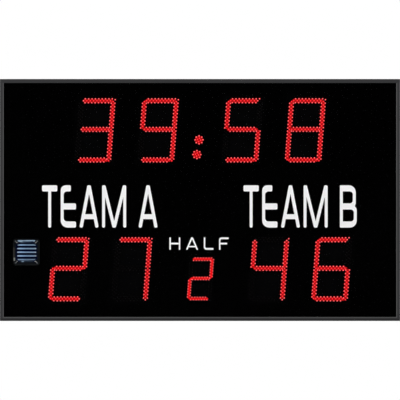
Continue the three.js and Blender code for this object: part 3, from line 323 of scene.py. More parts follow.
# Slats: their blue grey is a painted reflection on glossy plastic, with painted highlights paler at their
# ends, and painted shade at the foot of the last one
SLAT_HIGHLIGHT_REACH = 38
SLAT_REFLECTION_TONES = [
    (0.0, (0.4, 0.48, 0.58)), (0.1, (0.26, 0.36, 0.51)), (0.25, (0.21, 0.35, 0.6)),
    (0.5, (0.145, 0.235, 0.385)), (0.88, (0.155, 0.24, 0.37)), (1.0, (0.37, 0.44, 0.52)),
]
LAST_SLAT_SHADE_BAND = (-22, -20)
LAST_SLAT_SHADE = 0.4
LAST_SLAT_SHADE_TONE = (0.02, 0.03, 0.045)
blue = surface("blue", "louvre_gloss", (0.2, 0.33, 0.52), 0.25)
end_highlight = blue.span(blue.axis("X"), (HORN_X - SLAT_HIGHLIGHT_REACH) * MM, (HORN_X + SLAT_HIGHLIGHT_REACH) * MM)
low, high = (MIDDLE + (HORN_Z + rise) * MM for rise in LAST_SLAT_SHADE_BAND)
last_slat_shading = blue.span(blue.axis("Z"), low, high, LAST_SLAT_SHADE, 0.0)
blue.set(Base_Color=blue.mixed(last_slat_shading, blue.ramp(end_highlight, *SLAT_REFLECTION_TONES), LAST_SLAT_SHADE_TONE))

# Ledge under the slats: painted shade from blue at its top to black at its foot, with one painted glint
LEDGE_SHADE_FADE = (-41, -31)
LEDGE_SHADE_TONES = [
    (0.0, (0.0003, 0.0006, 0.001)), (0.45, (0.002, 0.005, 0.011)), (0.75, (0.016, 0.03, 0.05)),
    (1.0, (0.09, 0.13, 0.18)),
]
GLINT = ((-17, -10), (-36, -33), 2)
GLINT_TONE = (0.16, 0.23, 0.31)
ledge = surface("ledge", "louvre_ledge", (0.02, 0.03, 0.05), 0.3, specular=0.06)
low, high = (MIDDLE + (HORN_Z + rise) * MM for rise in LEDGE_SHADE_FADE)
ledge.set(Base_Color=ledge.ramp(ledge.span(ledge.axis("Z"), low, high), *LEDGE_SHADE_TONES))
ledge.cover(ledge.patch(*GLINT), GLINT_TONE)

# Bezel and its rim: a painted highlight down the left side, and one painted highlight on the bevel that
# noise breaks up. The rim keeps its own colour only in broken painted glints along its lower part, and is
# black elsewhere
GLINT_BREAKUP_SCALE = 75
RIM_FOOT_GLINTS = ((-60, 60), (-60, 30), 12)
BLACK_RIM_TONE = (0.001, 0.001, 0.001)
LEFT_HIGHLIGHT = ((-60, -44), (-28, 16), 2.5)
BEVEL_HIGHLIGHT = ((-47, -43), (-32, -22), 1.2)
BEVEL_HIGHLIGHT_TONE = (0.4, 0.4, 0.38)


def horn_plastic(key, name, color, left_highlight_color, with_foot_glints):
    look = surface(key, name, color, 0.4, specular=0.05, grain=1500)
    # Painted light: noise breaks the rim's foot glints and the bevel highlight into spots; the left side
    # gets a painted highlight
    glint_breakup = look.span(look.noise(GLINT_BREAKUP_SCALE, 2.0), 0.42, 0.6)
    if with_foot_glints:
        foot_glints = look.times(glint_breakup, look.patch(*RIM_FOOT_GLINTS))
        look.set(Base_Color=look.mixed(foot_glints, BLACK_RIM_TONE, look.tone()))
    look.cover(look.patch(*LEFT_HIGHLIGHT), left_highlight_color)
    look.cover(look.times(look.patch(*BEVEL_HIGHLIGHT), look.span(glint_breakup, 0, 0.4, 0.5, 1)), BEVEL_HIGHLIGHT_TONE)


horn_plastic("bezel", "horn_bezel", (0.0012, 0.0022, 0.0034), (0.019, 0.019, 0.018), with_foot_glints=False)
horn_plastic("rim", "horn_rim", (0.008, 0.009, 0.009), (0.024, 0.024, 0.022), with_foot_glints=True)

# LEDs: bullets on the bars of the display boards, each ring with its radius and rise
LED_PROFILE = [(2.9, 0.0), (2.9, 1.0), (2.5, 1.0), (2.5, 3.5), (1.77, 5.27)]
LED_HEIGHT = 6.0
LED_SIDES = 8
TIP_FADE = (3.6, 5.5)
BAR_FACE = depths_of("clock_digit_minutes")[0]


def glowing(key, name, side, tip, strength):
    """Light in one colour round the side of a dome and another at its tip"""
    graph = surface(key, name, shaded(side, 0.02), 0.3, specular=0.1, grain=1200, relief=FINE_RELIEF)
    low, high = (FACE + (BAR_FACE - rise) * MM for rise in TIP_FADE)
    rise = graph.span(graph.axis("Y"), low, high)
    graph.set(Emission_Color=graph.ramp(rise, (0.3, side), (1.0, tip)), Emission_Strength=strength)
    graph.material.cycles.emission_sampling = "NONE"


glowing("bead", "lit_led", (1.0, 0.003, 0.005), (1.0, 0.31, 0.33), 1.25)
glowing("core", "lit_led_core", (1.0, 0.001, 0.003), (1.0, 0.05, 0.08), 1.3)
# The bar glows are painted light: red light of the LEDs spilled over the faces of the lit bars
glowing("glow", "lit_bar_glow", (1.0, 0.0, 0.002), (1.0, 0.0, 0.002), 0.59)
glowing("small_glow", "lit_small_bar_glow", (1.0, 0.0, 0.003), (1.0, 0.0, 0.003), 1.05)

# The finish of each CAD node, by how its name begins: the first that fits counts
NODE_LOOKS = {
    "frame": ("frame_", "bay_flap"),
    "rear": ("rear_panel",),
    "rubber": ("window_gasket", "wall_buffer_"),
    "window": ("front_window",),
    "aluminium": ("clock_rail_", "score_rail_", "hanger_rail", "wall_rail", "power_supply"),
    "zinc": ("corner_cleat_", "rear_stiffener_", "period_bracket", "connector_bay"),
    "green": ("controller_board",),
    "grey": ("radio_receiver", "data_socket", "horn_driver"),
    "black": (
        "horn_flare", "power_inlet", "fuse_drawer", "power_switch_housing", "pairing_button_housing",
    ),
    "bezel": ("horn_bezel",),
    "blue": ("horn_louvre",),
    "steel": ("flap_hinge_pin", "flap_magnet"),
    "dark_steel": ("horn_screw_",),
    "red": ("power_rocker", "pairing_button"),
    "lead": ("power_lead", "horn_lead", "data_lead", "mains_lead"),
    "ribbon": ("clock_ribbon", "score_ribbon"),
    "circuit": ("clock_digit_", "clock_colon", "score_digit_", "period_digit"),
}
for name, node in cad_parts.items():
    look = next(look for look, starts in NODE_LOOKS.items() if name.startswith(starts))
    node.data.materials.clear()
    node.data.materials.append(materials[look])


# Pieces
def piece(name, mesh, look, slot, body="case", smooth=35, stands_for=()):
    made = add_object(name, mesh)
    mesh.materials.append(materials[look])
    mesh.shade_smooth()
    mesh.set_sharp_from_angle(angle=math.radians(smooth))
    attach(made, body)
    if stands_for:
        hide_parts(*stands_for)


def solid(name, shape, look, slot, **options):
    """A piece whose faces are those of a bmesh"""
    bmesh.ops.recalc_face_normals(shape, faces=shape.faces)
    mesh = bpy.data.meshes.new(name)
    shape.to_mesh(mesh)
    shape.free()
    piece(name, mesh, look, slot, **options)


def facing(outline, depth):
    """An outline of x and z that faces the front"""
    return [at(x, depth, z) for x, z in outline]


def lying(outline, x, depth, z, size=1):
    """An outline of x and depth at one height, round a middle"""
    return [at(x + px * size, depth + py * size, z) for px, py in outline]


def column(outline, x, depth, z, stages):
    """A lying outline at several heights: each stage has its rise and size"""
    return [lying(outline, x, depth, z + rise, size) for rise, size in stages]


def band(shape, first, second):
    """Faces between two rings with as many vertices"""
    for i in range(len(first)):
        shape.faces.new((first[i - 1], first[i], second[i], second[i - 1]))


def sheet(shape, loops, front, back):
    """A plate between two depths: the first loop is its outline, and the others are holes"""
    rings = []
    for loop in loops:
        rings.append([[shape.verts.new(point) for point in facing(loop, depth)] for depth in (front, back)])
    for side in zip(*rings):
        edges = []
        for ring in side:
            edges += [shape.edges.new((ring[i - 1], ring[i])) for i in range(len(ring))]
        bmesh.ops.triangle_fill(shape, use_beauty=True, edges=edges)
    for near, far in rings:
        band(shape, near, far)


def loft(shape, loops, closed=False):
    """A skin over loops in a row, with its ends capped, or with the last loop joined to the first"""
    rings = [[shape.verts.new(point) for point in loop] for loop in loops]
    if closed:
        rings.append(rings[0])
    else:
        shape.faces.new(rings[0])
        shape.faces.new(rings[-1])
    for first, second in zip(rings, rings[1:]):
        band(shape, first, second)


def lofted(name, stacks, look, slot, closed=False, **options):
    """A piece made of lofts, each from its own row of loops"""
    shape = bmesh.new()
    for loops in stacks:
        loft(shape, loops, closed)
    solid(name, shape, look, slot, **options)


LEAST_CUT = 0.05


def filleted(points, steps=5):
    """Corners given as x, z and radius, turned into a closed outline"""
    result = []
    for i, (x, z, radius) in enumerate(points):
        corner = Vector((x, z))
        before = Vector(points[i - 1][:2]) - corner
        after = Vector(points[(i + 1) % len(points)][:2]) - corner
        before_way, after_way = before.normalized(), after.normalized()
        half = before.angle(after) / 2
        room = min(before.length, after.length) / 2
        cut = min(radius / math.tan(half), room) if radius else 0
        if cut < LEAST_CUT:
            result.append((x, z))
            continue
        radius = cut * math.tan(half)
        center = corner + (before_way + after_way).normalized() * radius / math.sin(half)
        start = corner + before_way * cut - center
        end = corner + after_way * cut - center
        turn = math.atan2(start.x * end.y - start.y * end.x, start.dot(end))
        first = math.atan2(start.y, start.x)
        for step in range(steps + 1):
            angle = first + turn * step / steps
            result.append((center.x + radius * math.cos(angle), center.y + radius * math.sin(angle)))
    return result


def rounded(width, height, radius, x=0.0, z=0.0, lean=0.0, steps=5):
    a, b = width / 2, height / 2
    corners = [(-a, -b), (a, -b), (a, b), (-a, b)]
    return filleted([(x + px + pz * lean, z + pz, radius) for px, pz in corners], steps)


def disc(radius, center=(0, 0), sides=32, start=0):
    """Points round a circle, from a start angle in degrees"""
    angles = [math.radians(start) + math.tau * i / sides for i in range(sides)]
    return [(center[0] + radius * math.cos(a), center[1] + radius * math.sin(a)) for a in angles]


def moved(spot, shift):
    return spot[0] + shift[0], spot[1] + shift[1]


def turned(x, z, angle):
    return x * math.cos(angle) - z * math.sin(angle), x * math.sin(angle) + z * math.cos(angle)


def spread(count, reach):
    """Evenly spaced places from -reach to reach"""
    return [(i / (count - 1) * 2 - 1) * reach for i in range(count)]


# Digits: rows of LEDs along seven segments. A segment has its middle line and the first place and
# pitch on it, and a row its side step, its shift along the line in pitches and its LEDs
LEAN = math.tan(math.radians(4.4))
Segment = namedtuple("Segment", "line first pitch rows")
UPRIGHT = "bcef"
LARGE = {
    "a": Segment(111.3, -51.3, 12.65, [(7.4, 0.5, 9), (0, 0, 9), (-7.4, 0.5, 8)]),
    "g": Segment(4.1, -51.1, 12.65, [(7.4, 0.5, 8), (0, 0, 9), (-7.2, 0.5, 8)]),
    "d": Segment(-110.4, -51.9, 12.6, [(7.4, 0.5, 8), (0, 0, 9), (-7.4, 0.5, 8)]),
    "b": Segment(60.3, 108.7, -13.1, [(7.0, -0.5, 9), (0, 0, 9), (-7.0, 0.5, 8)]),
    "c": Segment(60.3, -8.9, -13.1, [(7.0, -0.5, 9), (0, 0, 9), (-7.0, -0.5, 9)]),
    "f": Segment(-59.0, 108.3, -13.2, [(7.2, 0.5, 7), (0, 0, 8), (-6.9, 0.5, 8)]),
    "e": Segment(-59.3, 3.8, -12.6, [(7.5, 0.5, 8), (0, 0, 10), (-6.6, 0.5, 9)]),
}
SMALL = {
    "a": Segment(74.3, -29.2, 10.35, [(4.8, 0.45, 7), (-5.7, 0, 7)]),
    "g": Segment(1.8, -28, 10.25, [(4.9, 0.4, 6), (-5.1, 0, 7)]),
    "d": Segment(-74.3, -29, 10.15, [(5.8, 0.4, 6), (-4.5, 0, 7)]),
    "b": Segment(40.6, 72, -10.6, [(5.1, 0, 7), (-5.1, 0.5, 7)]),
    "c": Segment(40.6, -7, -10.4, [(5.1, 0, 7), (-5.1, -0.5, 7)]),
    "f": Segment(-37.1, 66, -10.6, [(5.1, 0, 6), (-5.1, 0.5, 6)]),
    "e": Segment(-37.1, -2, -10.15, [(5.1, 0, 7), (-5.1, 0.5, 7)]),
}
# The segments that meet the lower or left end of each one, and its other end
NEIGHBOURS = {
    "a": ("f", "b"), "g": ("fe", "bc"), "d": ("e", "c"), "b": ("gc", "a"), "f": ("ge", "a"),
    "c": ("d", "gb"), "e": ("d", "gf"),
}
# The two segments on whose middle lines the glow of each one ends
BOUNDS = {"a": "fb", "g": "fb", "d": "fb", "b": "ga", "f": "ga", "c": "dg", "e": "dg"}
LIT_SEGMENTS = {
    "2": "abged", "3": "abcdg", "4": "bcfg", "5": "afgcd", "6": "acdefg", "7": "abc", "8": "abcdefg",
    "9": "abcdfg",
}
LED_SLOTS = {"core": "led_red", "bead": "led_red", "unlit": "black_plastic"}

# Free ends: how far the glow stops short where no neighbour is lit, left and right on the lying
# segments, then low and high on the upright ones. Opening: its width, height, corner and shift
Display = namedtuple("Display", "layout bar free_ends led_share glow opening")
LARGE_DISPLAY = Display(LARGE, 13, ((4.5, 8), (0.2, 0.2)), 1.0, "glow", (160, 260, 6, 0.6))
SMALL_DISPLAY = Display(SMALL, 7.4, ((3.7, 3.7), (3.7, 3.7)), 0.84, "small_glow", (108, 176, 5, 1.7))
GLOW_FRONT = 0.25
GLOW_BACK = 0.05
GLOW_SEAM = 0.2


def on_digit(along, across, upright):
    """A place on the leaning digit, given along and across a segment"""
    x, z = (across, along) if upright else (along, across)
    return x + z * LEAN, z


def meets(letter, lit):
    """Whether a segment's lower or left end, and its other end, touch a lit neighbour"""
    return [any(other in lit for other in near) for near in NEIGHBOURS[letter]]


def led_places(segment, letter, lit):
    """The kind and place of each LED of a segment: a free end is as pale as the edges"""
    upright = letter in UPRIGHT
    met = meets(letter, lit)
    first_met, last_met = reversed(met) if upright else met
    for side, shift, count in segment.rows:
        for i in range(count):
            free = (i == 0 and not first_met) or (i == count - 1 and not last_met)
            kind = "bead" if side or free else "core"
            along = segment.first + (shift + i) * segment.pitch
            spot = on_digit(along, segment.line + side, upright)
            yield kind if letter in lit else "unlit", spot


def led_mesh(name, spots, share):
    """Bullet LEDs: rings of vertices from the flange up, and a tip"""
    points, faces = [], []
    for x, z in spots:
        base = len(points)
        for radius, rise in LED_PROFILE:
            points += facing(disc(radius * share, (x, z), LED_SIDES), BAR_FACE - rise)
        tip = len(points)
        points.append(at(x, BAR_FACE - LED_HEIGHT, z))
        last = tip - LED_SIDES
        sides = [(i, (i + 1) % LED_SIDES) for i in range(LED_SIDES)]
        for low in range(base, last, LED_SIDES):
            high = low + LED_SIDES
            faces += [(low + i, low + j, high + j, high + i) for i, j in sides]
        faces += [(last + i, last + j, tip) for i, j in sides]
    mesh = bpy.data.meshes.new(name)
    mesh.from_pydata(points, [], faces)
    return mesh


def glow_outline(display, letter, lit):
    """A bar with pointed ends that reach its lit neighbours' middle lines"""
    upright = letter in UPRIGHT
    line = display.layout[letter].line
    start, end = (display.layout[other].line for other in BOUNDS[letter])
    before, after = meets(letter, lit)
    low_gap, high_gap = display.free_ends[upright]
    start += GLOW_SEAM if before else low_gap
    end -= GLOW_SEAM if after else high_gap
    half = display.bar / 2
    corners = [
        (start, line), (start + half, line + half), (end - half, line + half), (end, line),
        (end - half, line - half), (start + half, line - half),
    ]
    return [on_digit(along, across, upright) for along, across in corners]


def add_lights(node, leds, bars, shift=(0, 0), display=LARGE_DISPLAY):
    """A display board's LEDs, one piece for each kind, and the painted glow of their spilled light on its
    lit bars
    """
    middle = moved(middle_of(node), shift)
    suffix = node.replace("_digit", "")
    for kind, slot in LED_SLOTS.items():
        spots = [moved(spot, middle) for led_kind, spot in leds if led_kind == kind]
        if spots:
            name = f"{kind}_leds_{suffix}"
            piece(name, led_mesh(name, spots, display.led_share), kind, slot, smooth=50)
    shape = bmesh.new()
    for bar in bars:
        placed = [moved(spot, middle) for spot in bar]
        sheet(shape, [placed], BAR_FACE - GLOW_FRONT, BAR_FACE - GLOW_BACK)
    solid(f"bar_glow_{suffix}", shape, display.glow, "led_red")


# What each board shows, and how far its LEDs sit off its middle
SHOWN = {
    "clock_digit_ten_minutes": ("3", (-0.7, -0.5)),
    "clock_digit_minutes": ("9", (-0.1, -0.4)),
    "clock_digit_ten_seconds": ("5", (0.4, -0.35)),
    "clock_digit_seconds": ("8", (0.7, -0.3)),
    "score_digit_left_tens": ("2", (-0.3, 0.7)),
    "score_digit_left_units": ("7", (0.3, 0.5)),
    "score_digit_right_tens": ("4", (-0.5, 0.6)),
    "score_digit_right_units": ("6", (0.3, 0.7)),
    "period_digit": ("2", (0, 0)),
}
DISPLAYS = {node: SMALL_DISPLAY if node == "period_digit" else LARGE_DISPLAY for node in SHOWN}
for node, (digit, shift) in SHOWN.items():
    display = DISPLAYS[node]
    lit = LIT_SEGMENTS[digit]
    leds = []
    for letter, segment in display.layout.items():
        leds += led_places(segment, letter, lit)
    add_lights(node, leds, [glow_outline(display, letter, lit) for letter in lit], shift, display)

# Colon: two discs of LEDs, each ring with its radius, count and start angle
COLON_SPOTS = [(-3.7, -35.6), (-11.6, -90.7)]
COLON_RINGS = {"bead": (15, 8, 90), "core": (6.4, 4, 75)}
# The colon's glow discs are painted light spilled round its LEDs
COLON_GLOW = 14.6
colon_leds = []
for spot in COLON_SPOTS:
    for kind, (radius, count, start) in COLON_RINGS.items():
        colon_leds += [(kind, place) for place in disc(radius, spot, count, start)]
add_lights("clock_colon", colon_leds, [disc(COLON_GLOW, spot) for spot in COLON_SPOTS])

# Black film behind the window, cut out in front of each display board and round the horn
MASK_GAP = 0.05
MASK_SHEET = 0.15
MASK_INSET = 14
MASK_CORNER = 2
COLON_OPENING = 24
HORN_OPENING = (88, 88, 3)
WINDOW_FRONT, WINDOW_BACK = depths_of("front_window")
MASK_FRONT = WINDOW_BACK + MASK_GAP
mask_loops = [rounded(2 * (HALF_WIDTH - MASK_INSET), 2 * (HALF_HEIGHT - MASK_INSET), MASK_CORNER)]
for node, display in DISPLAYS.items():
    width, height, corner, offset = display.opening
    x, z = middle_of(node)
    mask_loops.append(rounded(width, height, corner, x + offset, z, LEAN))
for spot in COLON_SPOTS:
    mask_loops.append(disc(COLON_OPENING, moved(middle_of("clock_colon"), spot), sides=40))
mask_loops.append(rounded(*HORN_OPENING, HORN_X, HORN_Z))
mask = bmesh.new()
sheet(mask, mask_loops, MASK_FRONT, MASK_FRONT + MASK_SHEET)
solid("window_mask", mask, "mask", "black_circuit")

# Words over the digits: plain condensed capitals with rounded ends
VINYL_LIFT = 0.02
VINYL_SHEET = 0.15
VINYL_BACK = WINDOW_FRONT - VINYL_LIFT
SLANT_SHARE = 1.12


class Letters:
    """Capitals of one height: each letter's method gives its outline and holes at a width"""

    def __init__(self, height, stroke, bar, end, bend, gap, space, widths):
        self.sizes = height, stroke, bar, end
        self.bend, self.gap, self.space, self.widths = bend, gap, space, widths
        self.inner = bend / 2
        self.slanted = stroke * SLANT_SHARE
        self.waist = height / 2
        self.low, self.high = self.waist - bar / 2, self.waist + bar / 2

    def t(self, w):
        h, s, b, r = self.sizes
        left, right = (w - s) / 2, (w + s) / 2
        return [[(0, h, r), (0, h - b, r), (left, h - b, 0), (left, 0, r), (right, 0, r),
                 (right, h - b, 0), (w, h - b, r), (w, h, r)]]

    def h(self, w):
        h, s, _, r = self.sizes
        low, high = self.low, self.high
        return [[(0, 0, r), (0, h, r), (s, h, r), (s, high, 0), (w - s, high, 0), (w - s, h, r),
                 (w, h, r), (w, 0, r), (w - s, 0, r), (w - s, low, 0), (s, low, 0), (s, 0, r)]]

    def e(self, w):
        h, s, b, r = self.sizes
        low, high, bend, inner = self.low, self.high, self.bend, self.inner
        short = w * 0.66
        return [[(0, 0, bend), (0, h, bend), (short, h, r), (short, h - b, r), (s, h - b, inner),
                 (s, high, 0), (w, high, r), (w, low, r), (s, low, 0), (s, b, inner), (w, b, r),
                 (w, 0, r)]]

    def l(self, w):
        h, s, b, r = self.sizes
        return [[(0, 0, self.bend), (0, h, r), (s, h, r), (s, b, self.inner), (w, b, r), (w, 0, r)]]

    def f(self, w):
        h, s, b, r = self.sizes
        arm = w * 0.85
        return [[(0, 0, r), (0, h, self.bend), (w, h, r), (w, h - b, r), (s, h - b, self.inner),
                 (s, self.high, 0), (arm, self.high, r), (arm, self.low, r), (s, self.low, 0), (s, 0, r)]]

    def a(self, w):
        h, _, b, r = self.sizes
        leg = self.slanted
        climb = (w / 2 - leg / 2) / h
        low = h * 0.2
        high = low + b * 0.8
        apex = (w / 2 - leg) / climb
        outer = [(0, 0, r), (w / 2 - leg / 2, h, r), (w / 2 + leg / 2, h, r), (w, 0, r), (w - leg, 0, r),
                 (w - climb * low - leg, low, 0), (climb * low + leg, low, 0), (leg, 0, r)]
        hole = [(climb * high + leg, high, 0), (w - climb * high - leg, high, 0), (w / 2, apex, 0)]
        return [outer, hole]

    def m(self, w):
        h, s, _, r = self.sizes
        leg = self.slanted
        run = w / 2 - leg / 2
        fork = h - h * s / run
        valley = h * (1 - (w / 2 - leg) / run)
        return [[(0, 0, r), (0, h, r), (leg, h, r), (w / 2, valley, 0), (w - leg, h, r), (w, h, r),
                 (w, 0, r), (w - s, 0, r), (w - s, fork, 0), (w / 2 + leg / 2, 0, r),
                 (w / 2 - leg / 2, 0, r), (s, fork, 0), (s, 0, r)]]

    def b(self, w):
        h, s, b, _ = self.sizes
        bend, waist = self.bend, self.waist
        upper = w * 0.94
        inner = bend * 0.45
        outer = [(0, 0, 3), (0, h, 3), (upper, h, bend), (upper, waist + b * 0.4, b * 0.5),
                 (upper - s * 0.35, waist + b * 0.06, s * 0.2), (w, waist - b * 0.4, b * 0.5),
                 (w, 0, bend)]
        upper_hole = [(s, self.high, 0), (upper - s, self.high, inner), (upper - s, h - b, inner),
                      (s, h - b, 0)]
        lower_hole = [(s, b, 0), (w - s, b, inner), (w - s, self.low, inner), (s, self.low, 0)]
        return [outer, upper_hole, lower_hole]

    def word(self, name, text, center):
        """Cuts the letters out of vinyl and sets them on the window's face"""
        advances = []
        for letter, following in zip(text, text[1:] + " "):
            gap = 0 if " " in (letter, following) else self.gap
            advances.append(self.widths.get(letter, self.space) + gap)
        left = center[0] - sum(advances) / 2
        foot_glints = center[1] - self.waist
        shape = bmesh.new()
        for letter, advance in zip(text, advances):
            if letter != " ":
                loops = getattr(self, letter.lower())(self.widths[letter])
                placed = [[(left + x, foot_glints + z) for x, z in filleted(loop)] for loop in loops]
                sheet(shape, placed, VINYL_BACK - VINYL_SHEET, VINYL_BACK)
            left += advance
        solid(name, shape, "vinyl", "label_white")


team = Letters(
    height=158.4, stroke=10.8, bar=23, end=4.8, bend=26, gap=13, space=46,
    widths={"T": 57, "E": 57, "A": 72, "M": 90, "B": 63},
)
team.word("word_team_a", "TEAM A", (-375, -24.1))
team.word("word_team_b", "TEAM B", (375, -24.1))
half = Letters(
    height=46.6, stroke=5.6, bar=6.8, end=2.2, bend=10, gap=21, space=20,
    widths={"H": 41, "A": 46, "L": 36, "F": 36},
)
half.word("word_half", "HALF", (-3.7, -163.2))

# Horn: rings round its middle, each stage with half its width, its corner and its depth
CORNER_STEPS = 6
BEZEL_BACK = WINDOW_FRONT - 0.3
SLEEVE_BACK = BEZEL_BACK + 7
BEZEL_LIP = [
    (50, 10, BEZEL_BACK), (50, 10, -0.4), (49.3, 9.5, -1.3), (47.2, 8.5, -1.2), (44.5, 9, -0.6),
]
BEZEL_SLEEVE = [
    (41.5, 14, -0.3), (40.3, 14, 0.3), (40, 14, 1.2), (40, 14, SLEEVE_BACK), (43, 14, SLEEVE_BACK),
    (43, 14, BEZEL_BACK),
]
RIM = [(49.6, 9.8, -0.9), (49.2, 9.6, -1.7), (48.2, 9.0, -2.0), (47.2, 8.6, -1.8), (46.9, 8.5, -1.0)]
LOUVRE_FRONT, LOUVRE_BACK = depths_of("horn_louvre")
LOUVRE_RING = [
    (39.7, 14, LOUVRE_BACK), (39.7, 14, LOUVRE_FRONT + 1.4), (39.2, 14, LOUVRE_FRONT + 0.6),
    (37.6, 13.6, LOUVRE_FRONT + 0.6), (36.8, 13.4, LOUVRE_FRONT + 1.4), (36.7, 13.4, LOUVRE_BACK),
]


def corner_loop(half, corner, depth, cut):
    """A square loop round the horn, with cut or rounded corners of as many points"""
    points = []
    for quarter, (sx, sz) in enumerate(((1, 1), (-1, 1), (-1, -1), (1, -1))):
        for step in range(CORNER_STEPS + 1):
            share = step / CORNER_STEPS
            if quarter % 2:
                share = 1 - share
            if cut:
                x, z = half - corner * share, half - corner * (1 - share)
            else:
                angle = share * math.pi / 2
                x = half - corner + corner * math.cos(angle)
                z = half - corner + corner * math.sin(angle)
            points.append(at(HORN_X + sx * x, depth, HORN_Z + sz * z))
    return points


def corner_loops(stages, cut=False):
    return [corner_loop(*stage, cut) for stage in stages]


lofted("horn_bezel_moulding", [corner_loops(BEZEL_LIP) + corner_loops(BEZEL_SLEEVE, cut=True)],
       "bezel", "black_plastic", closed=True, smooth=40, stands_for=("horn_bezel",))
lofted("horn_bezel_rim", [corner_loops(RIM)], "rim", "black_plastic", closed=True, smooth=60)

# Screw bosses in the bezel's corners, as rings with a radius and depth
SCREW_OUT = 40.5
BOSS_PROFILE = [(4.4, -0.2), (3.9, -1.7), (3.3, -2.2)]
CORNERS = [(sx, sz) for sx in (-1, 1) for sz in (-1, 1)]
boss_spots = [(HORN_X + sx * SCREW_OUT, HORN_Z + sz * SCREW_OUT) for sx, sz in CORNERS]
lofted("horn_screw_bosses", [
    [facing(disc(radius, spot, sides=20), depth) for radius, depth in BOSS_PROFILE] for spot in boss_spots
], "bezel", "black_plastic")

# Screws: a slotted pan head on a washer and a shank, with a rib beside each one
HEAD_RADIUS = 3.0
HEAD_HEIGHT = 1.2
WASHER_HEIGHT = 0.4
SHANK_RADIUS = 1.6
DOME_SHARE = 0.82
SLOT_SHARE = 0.14
HALF_HEAD_STEPS = 8
RIB_REACH = (33.4, 38.3)
RIB_HALF = 0.9
RIB_STAGES = [(-0.1, 1), (-1.1, 1), (-1.9, 0.5)]


def half_head(spot, front, side, angle):
    """One side of a low dome, up to the straight slot across it"""
    back = front + HEAD_HEIGHT
    loops = []
    for share, depth in ((1, back), (1, (front + back) / 2), (DOME_SHARE, front)):
        radius = HEAD_RADIUS * share
        outline = []
        for i in range(HALF_HEAD_STEPS + 1):
            turn = math.pi * i / HALF_HEAD_STEPS
            rise = max(radius * math.sin(turn), HEAD_RADIUS * SLOT_SHARE)
            outline.append(moved(spot, turned(radius * math.cos(turn), side * rise, angle)))
        loops.append(facing(outline, depth))
    return loops


def add_screw(name, node, angle):
    spot = middle_of(node)
    front, tip = depths_of(node)
    washer_front = front + HEAD_HEIGHT
    washer_back = washer_front + WASHER_HEIGHT
    shank = [facing(disc(radius, spot, sides=20), depth) for radius, depth in (
        (HEAD_RADIUS, washer_front), (HEAD_RADIUS, washer_back), (SHANK_RADIUS, washer_back),
        (SHANK_RADIUS, tip),
    )]
    halves = [half_head(spot, front, side, angle) for side in (1, -1)]
    lofted(name, [*halves, shank], "dark_steel", "bright_steel", stands_for=(node,))


def add_rib(name, sx, sz):
    """A short bright rib from the louvre to a corner screw, with a narrower crest"""
    across = Vector((-sz, sx)).normalized() * RIB_HALF
    start, end = RIB_REACH
    base = []
    for reach, way in ((start, 1), (end, 1), (end, -1), (start, -1)):
        base.append((HORN_X + sx * reach + across.x * way, HORN_Z + sz * reach + across.y * way))
    middle_x, middle_z = (sum(places) / 4 for places in zip(*base))
    lofted(name, [[
        [at(middle_x + (x - middle_x) * size, depth, middle_z + (z - middle_z) * size) for x, z in base]
        for depth, size in RIB_STAGES
    ]], "steel", "bright_steel")


for side, sx in (("left", -1), ("right", 1)):
    for end, sz in (("top", 1), ("bottom", -1)):
        corner = f"{end}_{side}"
        add_screw(f"screw_head_{corner}", f"horn_screw_{corner}", math.atan2(sz, sx))
        add_rib(f"corner_rib_{corner}", sx, sz)

# Louvre: a ring, tilted slats, each with stages of its reach and size, brows and a dust mesh
lofted("louvre_ring", [corner_loops(LOUVRE_RING, cut=True)], "navy", "louvre_blue", closed=True,
       smooth=40, stands_for=("horn_louvre",))
SLAT_TILT = math.radians(40)
SLAT_PITCH = 13.7
SLAT_SHIFT = 1.7
SLAT_DROP = 0.5
SLAT_REACHES = (35.2, 36.2, 36.2, 36.2, 35.2)
SLAT_STAGES = ((-1.0, 0.55), (-0.97, 0.9), (-0.9, 1.0), (0.9, 1.0), (0.97, 0.9), (1.0, 0.55))
SLAT_SECTION = [
    (-3.9, 0.0), (-3.6, -0.7), (-2.9, -1.0), (0.0, -1.1), (2.9, -1.0), (3.7, -0.5), (3.9, 0.0),
    (3.6, 0.6), (2.9, 0.9), (0.0, 1.2), (-2.9, 1.0), (-3.6, 0.7),
]
slat_depth = middle_depth("horn_louvre")
tilted = [turned(along, thick, SLAT_TILT) for along, thick in SLAT_SECTION]
for number, reach in enumerate(SLAT_REACHES):
    slat_z = HORN_Z + (2 - number) * SLAT_PITCH - SLAT_DROP
    loops = []
    for share, size in SLAT_STAGES:
        x = HORN_X + SLAT_SHIFT + share * reach
        loops.append([at(x, slat_depth + depth * size, slat_z + rise * size) for depth, rise in tilted])
    lofted(f"louvre_slat_{number + 1}", [loops], "blue", "louvre_blue", smooth=50)

BROW_STEPS = 14
BROW_END = 0.35
BROW_SAG = 0.5
BROW_EDGES = (0.5, 0.6)


def add_brow(name, look, edge, height, front, back, reach, shift=0.0):
    """A lens-shaped ledge across the insert, fullest in its middle, from a straight edge down"""
    loops = []
    for share in spread(BROW_STEPS + 1, 1):
        swell = math.sqrt(max(1 - share * share, 0.0))
        x = HORN_X + shift + share * reach
        tip = edge - height * (BROW_END + (1 - BROW_END) * swell)
        middle = (edge + tip) / 2
        lift = front + (back - front) * (1 - swell) * BROW_SAG
        section = [
            (back, edge), (lift + BROW_EDGES[0], edge), (lift, (edge + middle) / 2), (lift, middle),
            (lift + BROW_EDGES[1], tip), (back, tip),
        ]
        loops.append([at(x, depth, HORN_Z + z) for depth, z in section])
    lofted(name, [loops], look, "louvre_blue", smooth=50)


